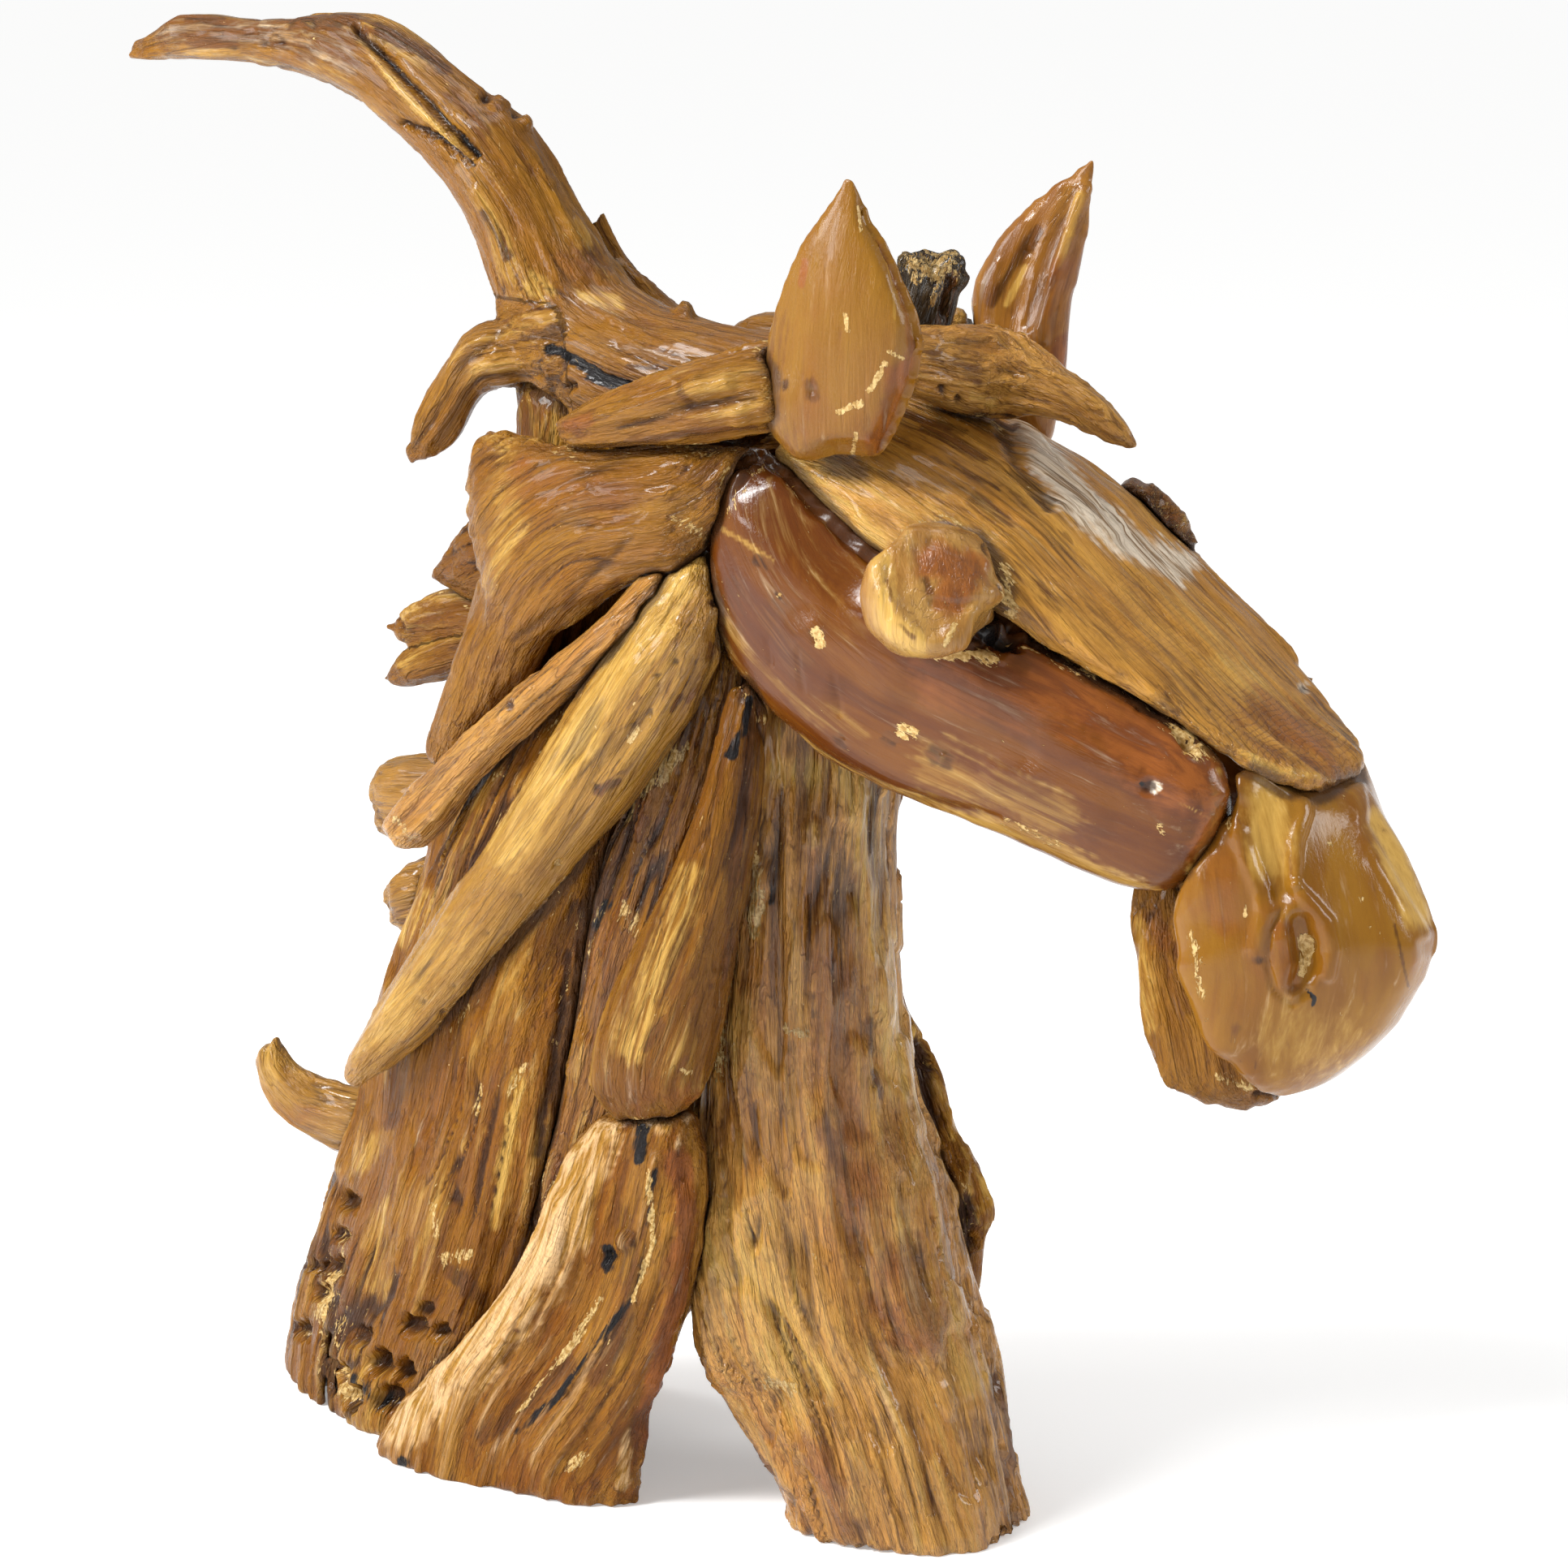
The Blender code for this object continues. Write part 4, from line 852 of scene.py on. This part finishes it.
growPiece(
    "crestWood", "crest_root", cell=0.005, rounds=8, lobes=1.5, flutes=0.7, flakes=0.5, cracks=0.7,
    paths=[
        [
            (80, 30, 19), (130, 22, 13), (205, 28, 1), (268, 66, -8), (321, 128, -14), (356, 197, -19),
            (415, 232, -31), (490, 254, -32),
        ],
        [(340, 216, -36), (314, 218, -41), (294, 224, -46), (275, 253, -51), (254, 284, -56)],
    ],
    dark=[
        (0.9, 9, 236, 25, 274, 27), (0.9, 7, 249, 48, 293, 57), (0.7, 4, 318, 29, 340, 29), (0.9, 7, 325, 54),
        (0.9, 12, 364, 31, 405, 30, 432, 28), (0.9, 12, 466, 40, 510, 62, 549, 86), (0.6, 16, 560, 120, 600, 160),
        (0.9, 9, 600, 262, 614, 285, 628, 313), (0.6, 14, 720, 315, 740, 335), (0.7, 8, 612, 140),
        (0.9, 12, 843, 384), (0.9, 5, 772, 450, 823, 456), (0.6, 16, 720, 450, 760, 480),
        (0.6, 5, 622, 395, 640, 410), (0.5, 8, 650, 345, 660, 380), (0.6, 44, 200, 36, 300, 36, 430, 44),
    ],
    cut=[
        (8, 6, 440, 36, 485, 83, 529, 128, 587, 191), (6, 5, 497, 150, 542, 169, 584, 204), (4, 9, 600, 118),
        (4, 8, 636, 140), (3, 8, 680, 430, 708, 443, 740, 470, 772, 478), (6, 8, 702, 478),
        (1.5, 8, 628, 402, 574, 446, 510, 549),
    ],
    char=[
        (0.7, 4, 470, 68, 529, 128, 587, 191), (0.7, 3, 530, 164, 584, 204), (0.7, 8, 850, 384),
        (1, 9, 680, 430, 708, 443, 740, 470, 772, 478),
    ],
    ridge=[
        (1.6, 6, 446, 52, 500, 115, 560, 180), (4, 12, 618, 125), (4, 10, 650, 148), (1.6, 9, 684, 225),
        (10, 11, 845, 383),
    ],
    pale=[(0.9, 6, 446, 52, 500, 115, 560, 180), (0.7, 16, 655, 350, 672, 362), (0.6, 12, 720, 365, 760, 372)],
    red=[(0.4, 22, 690, 320, 740, 350)],
    filler=[(0.6, 12, 700, 290)],
    grey=[(0.3, 40, 200, 40, 300, 40, 420, 50)],
)
growPiece(
    "crestBranchWood", "crest_root_left", finish="crestWood", cell=0.0048, rounds=5, lobes=1.2, flutes=0.7,
    cracks=0.6,
    paths=[[(367, 132, 37), (391, 173, 33), (414, 197, 31), (445, 214, 30), (510, 225, 33)]],
)

# Ears, eyes and poll

growPiece(
    "earWood", "ear_right", sanded, slot="honey_teak", cell=0.0056, rounds=12, levels=2, lobes=0.5, ragged=0.6,
    thin=True, kept=[((1047, 222), 60)],
    pushes=[
        ((1045, 592), (1044, 564), 62), ((985, 560), (975, 552), 60), ((962, 500), (953, 503), 60),
        ((1047, 228), (1047, 219), 30),
    ],
    paths=[[(523, 110, -118), (520, 169, -112), (519, 231, -105), (519, 293, -98)]],
    carve=[(5, 24, 1080, 262, 1116, 330, 1136, 400, 1128, 460, 1100, 550)],
    # the thin pale line along the bevel's edge is a painted highlight
    pale=[(0.5, 2, 1062, 236, 1080, 275, 1099, 340, 1103, 394), (0.7, 5, 1000, 480)],
    dark=[
        (0.35, 22, 955, 400, 950, 480, 975, 545), (0.9, 9, 967, 474), (0.8, 10, 1000, 474, 1002, 488),
        (0.4, 14, 960, 420, 950, 460),
    ],
    red=[
        (0.35, 40, 1010, 520, 1060, 545), (0.7, 10, 1092, 286, 1120, 378, 1130, 454), (0.8, 26, 1112, 460, 1085, 545),
        (0.8, 6, 992, 322, 988, 350),
    ],
    filler=[
        (1.1, 3, 1058, 255, 1060, 285), (1.3, 4, 1042, 388, 1044, 408), (1.2, 4, 1096, 433, 1112, 443),
        (1.2, 5, 1091, 448, 1072, 481), (1.2, 6, 1034, 508, 1061, 497), (1.1, 4, 1055, 535, 1050, 560),
    ],
    cut=[(0.9, 6, 1000, 481)],
)
growPiece(
    "farEarWood", "ear_left", sanded, slot="honey_teak", cell=0.006, rounds=12, levels=2, lobes=0.5, ragged=0.6,
    thin=True, kept=[((1345, 205), 60)],
    pushes=[
        ((1345, 212), (1347, 205), 30), ((1296, 246), (1286, 240), 75), ((1262, 285), (1250, 282), 85),
        ((1222, 335), (1213, 335), 75),
    ],
    paths=[[(672, 101, 118), (643, 155, 112), (629, 205, 105), (640, 274, 98)]],
    dark=[(0.9, 10, 1223, 372, 1250, 325, 1278, 285)],
    pale=[(0.8, 6, 1240, 375, 1262, 330), (0.6, 8, 1330, 240, 1306, 325)],
    ridge=[(2.2, 9, 1337, 231, 1305, 329, 1283, 416)],
    cut=[(1.2, 9, 1318, 240, 1290, 320, 1268, 400)],
    red=[(0.9, 16, 1312, 420, 1300, 450), (0.5, 20, 1310, 330, 1300, 400)],
)
growPiece(
    "eyeWood", "eye_right", cell=0.0062, rounds=5, levels=2, lobes=1.4, flutes=0.3, cracks=0.3, relief=1.0,
    ripples=0.3, shade=0.5, ragged=0.6,
    pushes=[((1226, 776), (1212, 766), 50), ((1242, 700), (1235, 700), 36), ((1086, 664), (1092, 668), 40)],
    paths=[[(572, 315, -118), (575, 345, -122), (577, 380, -122), (575, 415, -118)]],
    carve=[
        (2.5, 16, 1100, 700, 1118, 740, 1150, 772), (2, 9, 1150, 668, 1192, 684, 1222, 716),
        (2, 8, 1150, 742, 1180, 748, 1212, 742),
    ],
    swell=[(3, 30, 1165, 690, 1185, 715)],
    red=[(0.85, 30, 1150, 690, 1195, 700, 1172, 735)],
    dark=[
        (0.8, 7, 1140, 716, 1146, 728), (0.9, 8, 1216, 672, 1238, 696, 1238, 724), (0.6, 4, 1094, 715, 1098, 740),
        (0.6, 4, 1110, 770, 1125, 785),
    ],
    cut=[(4, 9, 1216, 672, 1236, 694, 1238, 722), (1, 4, 1096, 680, 1090, 720, 1096, 760)],
    filler=[(1.2, 7, 1240, 706, 1238, 742), (1.3, 4, 1176, 770, 1164, 795)],
    pale=[(0.7, 20, 1088, 690, 1088, 760, 1130, 798)],
)
growPiece(
    "farEyeWood", "eye_left", finish="plankWood", cell=0.004, rounds=4, lobes=1.0, flutes=0.6, cracks=0.8,
    paths=[[(714, 328, 50), (714, 328, 80), (714, 328, 112), (714, 328, 140)]],
    cut=[(2, 5, 1420, 640, 1450, 672)],
    red=[(0.6, 18, 1440, 640)],
)
growPiece(
    "forelockWood", "forelock_root", finish="slimWood", cell=0.004, rounds=4, lobes=1.2, flutes=1.0, flakes=0.6,
    cracks=0.9,
    paths=[[(523, 220, -96), (552, 220, -46), (586, 226, -6), (616, 230, 15), (662, 247, 16), (700, 276, 16)]],
    cut=[(3, 8, 1180, 492), (3, 7, 1160, 480)],
    pale=[(0.7, 10, 1200, 490, 1220, 496)],
    ridge=[(1.6, 6, 1140, 402, 1200, 408, 1262, 420)],
    dark=[(0.5, 14, 1150, 440, 1200, 460)],
)
growPiece(
    "pollKnobWood", "poll_knob", slot="burnt_wood", finish="burntWood", cell=0.0034, rounds=2, lobes=1.6, flutes=1.2,
    flakes=1.0, cracks=1.2,
    pushes=[((1122, 330), (1112, 326), 30), ((1178, 335), (1192, 338), 34), ((1175, 318), (1178, 312), 20)],
    paths=[[(560, 232, 21), (566, 202, 21), (574, 176, 21), (576, 157, 21)]],
    filler=[(0.8, 24, 1135, 328, 1165, 325), (0.6, 10, 1160, 350, 1150, 375)],
    cut=[(4, 7, 1145, 318, 1150, 350), (3, 6, 1170, 345, 1165, 390)],
)

# Right side of the neck

growPiece(
    "plateWood", "neck_plate_right", cell=0.0048, rounds=8, lobes=1.6, flutes=0.6, flakes=0.5, cracks=0.6,
    paths=[[(463, 279, -93), (433, 308, -101), (359, 323, -100), (316, 372, -79), (291, 427, -74), (267, 470, -74)]],
    ridge=[(1.6, 12, 843, 575), (1, 10, 725, 598)],
    cut=[(2.2, 6, 845, 576), (1.4, 6, 780, 660, 700, 740, 630, 790)],
    dark=[(0.9, 7, 845, 576), (0.6, 9, 725, 598), (0.5, 10, 560, 540, 590, 545), (0.5, 10, 700, 745, 760, 715)],
    red=[(0.4, 40, 640, 600, 760, 620)],
    pale=[(0.5, 20, 620, 560, 630, 640, 600, 720)],
    filler=[(0.7, 8, 830, 640, 870, 660)],
)
growPiece(
    "slabWood", "back_slab_right", cell=0.0056, rounds=8, lobes=1.6, flutes=1.0, flakes=0.6, cracks=1.2,
    paths=[[(375, 402, -74), (333, 497, -71), (300, 595, -59), (275, 715, -45), (243, 821, -27), (231, 905, -17)]],
    cut=[
        (9, 13, 430, 1479), (8, 12, 419, 1520), (10, 14, 412, 1561), (9, 13, 398, 1593), (10, 14, 372, 1637),
        (8, 12, 446, 1647), (10, 16, 419, 1691), (12, 15, 441, 1722), (12, 16, 468, 1680), (10, 15, 509, 1634),
        (7, 11, 522, 1612), (9, 12, 540, 1642), (12, 17, 478, 1722), (11, 14, 500, 1690), (7, 10, 390, 1560),
        (2.6, 8, 700, 1180, 690, 1260, 660, 1420), (0.8, 3, 500, 1370, 520, 1420),
    ],
    filler=[
        (0.9, 10, 405, 1575, 395, 1620), (0.9, 10, 420, 1690, 430, 1720), (0.8, 8, 372, 1645),
        (0.9, 6, 650, 1310, 632, 1345), (0.9, 4, 592, 1340, 580, 1385), (0.9, 6, 540, 1480, 545, 1520),
        (0.8, 10, 550, 1550, 575, 1545),
    ],
    char=[(0.6, 12, 445, 1700, 470, 1730)],
    dark=[
        (0.7, 30, 400, 1540, 420, 1640), (0.8, 14, 560, 1570, 590, 1600), (0.8, 8, 478, 1385, 490, 1375),
        (0.5, 18, 560, 1450, 540, 1560), (0.6, 12, 590, 1010, 560, 1100),
    ],
    pale=[
        (0.5, 30, 470, 1500, 460, 1580), (0.7, 14, 640, 1330, 625, 1430, 610, 1510), (0.5, 16, 430, 1440, 470, 1400),
        (0.6, 12, 500, 1160, 520, 1100),
    ],
)
growPiece(
    "plankWood", "neck_plank_right", slot="dark_root", cell=0.0054, rounds=5, lobes=1.4, flutes=1.3, flakes=1.0,
    cracks=1.6,
    paths=[[(441, 404, -62), (421, 480, -64), (386, 600, -68), (370, 670, -68), (339, 766, -66)]],
    filler=[
        (1, 14, 830, 930, 800, 960, 760, 1000), (0.9, 12, 750, 1010, 730, 1060, 700, 1110),
        (0.8, 10, 770, 1120, 780, 1150),
    ],
    dark=[(0.8, 20, 740, 1080, 725, 1140)],
    char=[(0.7, 9, 745, 1115, 735, 1140)],
    cut=[(4, 8, 712, 1140, 705, 1250, 690, 1330)],
)
growPiece(
    "footWood", "root_foot_right", cell=0.005, rounds=6, lobes=1.2, flutes=0.9, flakes=0.3, cracks=0.3,
    paths=[[
        (398, 686, -94), (384, 753, -91), (371, 792, -87), (350, 831, -82), (322, 875, -81), (311, 925, -82),
        (315, 972, -83),
    ]],
    pale=[
        # the broad stroke down the ridge is pale weathered wood with a painted highlight on it
        (1, 44, 726, 1390, 712, 1430, 688, 1510, 632, 1595, 560, 1680, 500, 1745), (0.8, 10, 770, 1526),
        (0.7, 10, 775, 1770, 765, 1830), (0.6, 14, 800, 1380, 820, 1390),
    ],
    rings=[(0.3, 40, 690, 1510, 560, 1680)],
    ridge=[
        (4, 40, 690, 1500, 640, 1590, 560, 1680), (4, 18, 842, 1480, 832, 1600, 805, 1700), (5, 12, 772, 1527),
        (3, 10, 795, 1800),
    ],
    red=[(0.9, 16, 836, 1425, 842, 1500, 832, 1600, 805, 1700, 790, 1770)],
    dark=[
        (0.6, 20, 770, 1500, 780, 1600, 740, 1700), (0.9, 4, 783, 1518, 784, 1535),
        (0.7, 16, 700, 1680, 640, 1730, 600, 1770), (0.7, 5, 640, 1636), (0.5, 6, 575, 1708), (0.7, 10, 735, 1830),
    ],
    char=[
        (1, 12, 792, 1392, 788, 1425), (1, 10, 748, 1540, 745, 1560),
        (0.65, 5, 808, 1440, 800, 1520, 785, 1590, 745, 1650), (0.6, 6, 700, 1715, 660, 1745, 640, 1765),
        (0.8, 4, 760, 1620, 720, 1680, 680, 1730), (0.9, 9, 500, 1800),
    ],
    cut=[
        (4, 9, 747, 1550), (2, 6, 795, 1560, 760, 1640, 700, 1720), (1.6, 5, 805, 1600, 770, 1690, 720, 1760),
        (1, 4, 640, 1640),
    ],
    filler=[
        (1.2, 5, 800, 1440, 806, 1530, 780, 1600), (1, 4, 740, 1600, 700, 1660, 640, 1740),
        (1, 4, 720, 1640, 690, 1680), (0.9, 8, 720, 1790, 700, 1810),
    ],
)
growPiece(
    "lockWood", "mane_lock_right", cell=0.0048, rounds=6, lobes=1.4, flutes=0.7, flakes=0.3, cracks=0.8,
    paths=[[(461, 419, -90), (443, 522, -101), (413, 612, -102), (401, 653, -102), (401, 690, -98)]],
    char=[(0.8, 9, 925, 860, 915, 900, 900, 930)],
    dark=[
        (0.8, 14, 930, 870, 925, 960, 905, 1080), (0.7, 10, 905, 1080, 895, 1200), (0.7, 6, 875, 1215),
        (0.6, 4, 845, 1300, 836, 1318), (0.6, 8, 800, 1290, 815, 1260),
    ],
    pale=[(0.6, 22, 850, 1080, 810, 1200, 780, 1290)],
    red=[(0.5, 26, 790, 1340, 850, 1350)],
    ridge=[(1.4, 6, 880, 1200), (1.2, 5, 815, 1130)],
    filler=[(0.9, 5, 838, 1315, 850, 1320)],
)
growPiece(
    "strandWood", "mane_strand_long_right", cell=0.0048, rounds=6, lobes=1.3, flutes=0.5, flakes=0.3, cracks=0.6,
    paths=[[(439, 340, -92), (429, 372, -103), (375, 458, -104), (342, 507, -101), (267, 606, -93), (215, 666, -85)]],
    cut=[(2, 5, *spot) for spot in (
        (878, 744), (850, 752), (832, 816), (809, 833), (778, 895), (735, 972), (687, 1067), (838, 756), (800, 880),
        (600, 1150), (560, 1215), (545, 1248), (520, 1235), (640, 1105),
    )],
    dark=[
        (0.9, 6, 878, 744), (0.9, 6, 840, 860, 830, 875), (0.8, 7, 735, 975, 760, 962), (0.6, 9, 880, 800, 850, 860),
    ],
    filler=[(1.1, 4, 781, 868), (1.1, 5, 785, 900, 775, 915), (1.1, 4, 686, 1067)],
    pale=[(0.8, 30, 850, 690, 790, 790, 700, 930, 620, 1050), (0.5, 26, 560, 1140, 470, 1270)],
    ridge=[(1.4, 14, 790, 800, 760, 860, 740, 920)],
)
growPiece(
    "slimStrandWood", "mane_strand_slim_right", slot="dark_root", finish="slimWood", cell=0.004, rounds=5, lobes=1.2,
    flutes=0.9, flakes=0.3, cracks=0.9,
    paths=[[(425, 340, -96), (393, 374, -111), (327, 434, -107), (270, 490, -87), (244, 516, -76)]],
    cut=[(2, 5, 632, 868), (1.2, 4, 800, 720, 740, 790, 690, 840)],
    dark=[(0.9, 6, 630, 870), (0.6, 10, 560, 1000, 540, 1040)],
    filler=[(0.8, 6, 488, 1010, 510, 1030)],
    ridge=[(1.8, 10, 540, 1000)],
)
growPiece(
    "templeWood", "temple_lock_right", finish="plateWood", cell=0.004, rounds=5, lobes=1.2, flutes=1.1, flakes=0.3,
    cracks=0.7,
    paths=[[(345, 264, -104), (400, 254, -109), (436, 246, -108), (473, 237, -101), (500, 236, -94)]],
    red=[(0.7, 14, 702, 527, 722, 520)],
    ridge=[(2, 9, 740, 515, 820, 490, 900, 470), (1.6, 12, 860, 470), (2.4, 14, 912, 505)],
    cut=[(1.8, 7, 760, 530, 840, 505, 930, 490)],
    dark=[(0.6, 8, 840, 475, 850, 500), (0.8, 6, 760, 548, 850, 530, 930, 525)],
)

# Back of the neck

growPiece(
    "spurWood", "back_spur_right", finish="lockWood", cell=0.0048, rounds=3, lobes=1.6, flutes=1.0, cracks=1.0,
    paths=[[(370, 355, -20), (324, 340, -13), (282, 356, -3), (268, 359, -2)]],
    char=[(0.7, 10, 598, 650, 602, 690)],
)
growPiece(
    "hornsWood", "back_horns", finish="lockWood", cell=0.0048, rounds=3, lobes=1.6, flutes=0.9, cracks=0.9,
    paths=[
        [(350, 400, 10), (304, 385, 8), (259, 388, 6), (240, 387, 6)],
        [(333, 410, 4), (297, 399, 4), (239, 420, 2)],
    ],
    dark=[(0.6, 8, 500, 775, 540, 760)],
    pale=[(0.6, 14, 500, 820, 530, 800)],
)
for pieceName, nodeName, path in (
    ("upperBlockWood", "back_block_upper", [(301, 493, 0), (268, 493, 0), (234, 493, 0)]),
    ("lowerBlockWood", "back_block_lower", [(282, 546, 0), (260, 551, 0), (241, 557, 0)]),
):
    growPiece(pieceName, nodeName, finish="strandWood", rounds=2, lobes=1.5, cracks=0.6, paths=[path])
growPiece(
    "tailHookWood", "tail_hook", finish="strandWood", cell=0.004, rounds=5, lobes=1.1, flutes=0.6, cracks=0.5,
    paths=[[(165, 642, -19), (168, 658, -19), (182, 674, -17), (200, 684, -13), (259, 699, 0)]],
    pale=[(0.5, 14, 330, 1290, 335, 1330)],
    red=[(0.4, 20, 350, 1370, 400, 1385)],
)

# Left side, plainer

growPiece(
    "throatWood", "throat_root_left", finish="slabWood", cell=0.006, rounds=4, lobes=2.2, flutes=1.4, cracks=1.6,
    paths=[[(531, 486, 58), (536, 612, 60), (564, 704, 56), (581, 776, 56), (587, 880, 58), (590, 930, 60)]],
    cut=[(6, 14, 1130, 1290, 1140, 1350, 1150, 1400), (6, 12, 1192, 1480, 1190, 1560)],
    dark=[(0.8, 14, 1130, 1290, 1140, 1350, 1150, 1400), (0.9, 14, 1192, 1480, 1190, 1560)],
    pale=[(0.8, 8, 1120, 1270, 1160, 1320, 1175, 1400), (0.7, 8, 1210, 1450, 1215, 1490)],
)
leftLook = {
    **plainLook, "cell": 0.0085, "rounds": 3, "lobes": 1.8, "flutes": 1.1, "flakes": 0.6, "cracks": 1.4,
    "mirrored": True,
}
leftRoots = [
    ("leftPlateWood", "neck_plate_left", "plateWood",
        [(463, 279, -93), (433, 308, -101), (359, 323, -100), (316, 372, -79), (267, 470, -74)]),
    ("leftSlabWood", "back_slab_left", "slabWood",
        [(399, 402, -74), (357, 497, -71), (324, 595, -59), (299, 715, -45), (255, 905, -17)]),
    ("leftFootWood", "root_foot_left", "footWood",
        [(398, 686, -94), (380, 753, -91), (340, 831, -82), (300, 875, -81), (280, 950, -83)]),
    ("leftLockWood", "mane_lock_left", "lockWood",
        [(447, 423, -92), (429, 526, -103), (399, 616, -104), (387, 694, -100)]),
    ("leftStrandWood", "mane_strand_long_left", "strandWood",
        [(437, 346, -92), (373, 464, -104), (340, 513, -101), (213, 672, -85)]),
    ("leftTempleWood", "temple_lock_left", "strandWood",
        [(339, 260, -104), (394, 250, -109), (467, 233, -101), (494, 232, -94)]),
    ("leftSlimWood", "mane_strand_slim_left", "slimWood",
        [(421, 346, -96), (389, 380, -111), (323, 440, -107), (240, 522, -76)]),
]
for pieceName, nodeName, finishName, path in leftRoots:
    slot = "dark_root" if nodeName == "mane_strand_slim_left" else "raw_teak"
    growPiece(pieceName, nodeName, leftLook, slot=slot, finish=finishName, paths=[path])

print("pieces finished")
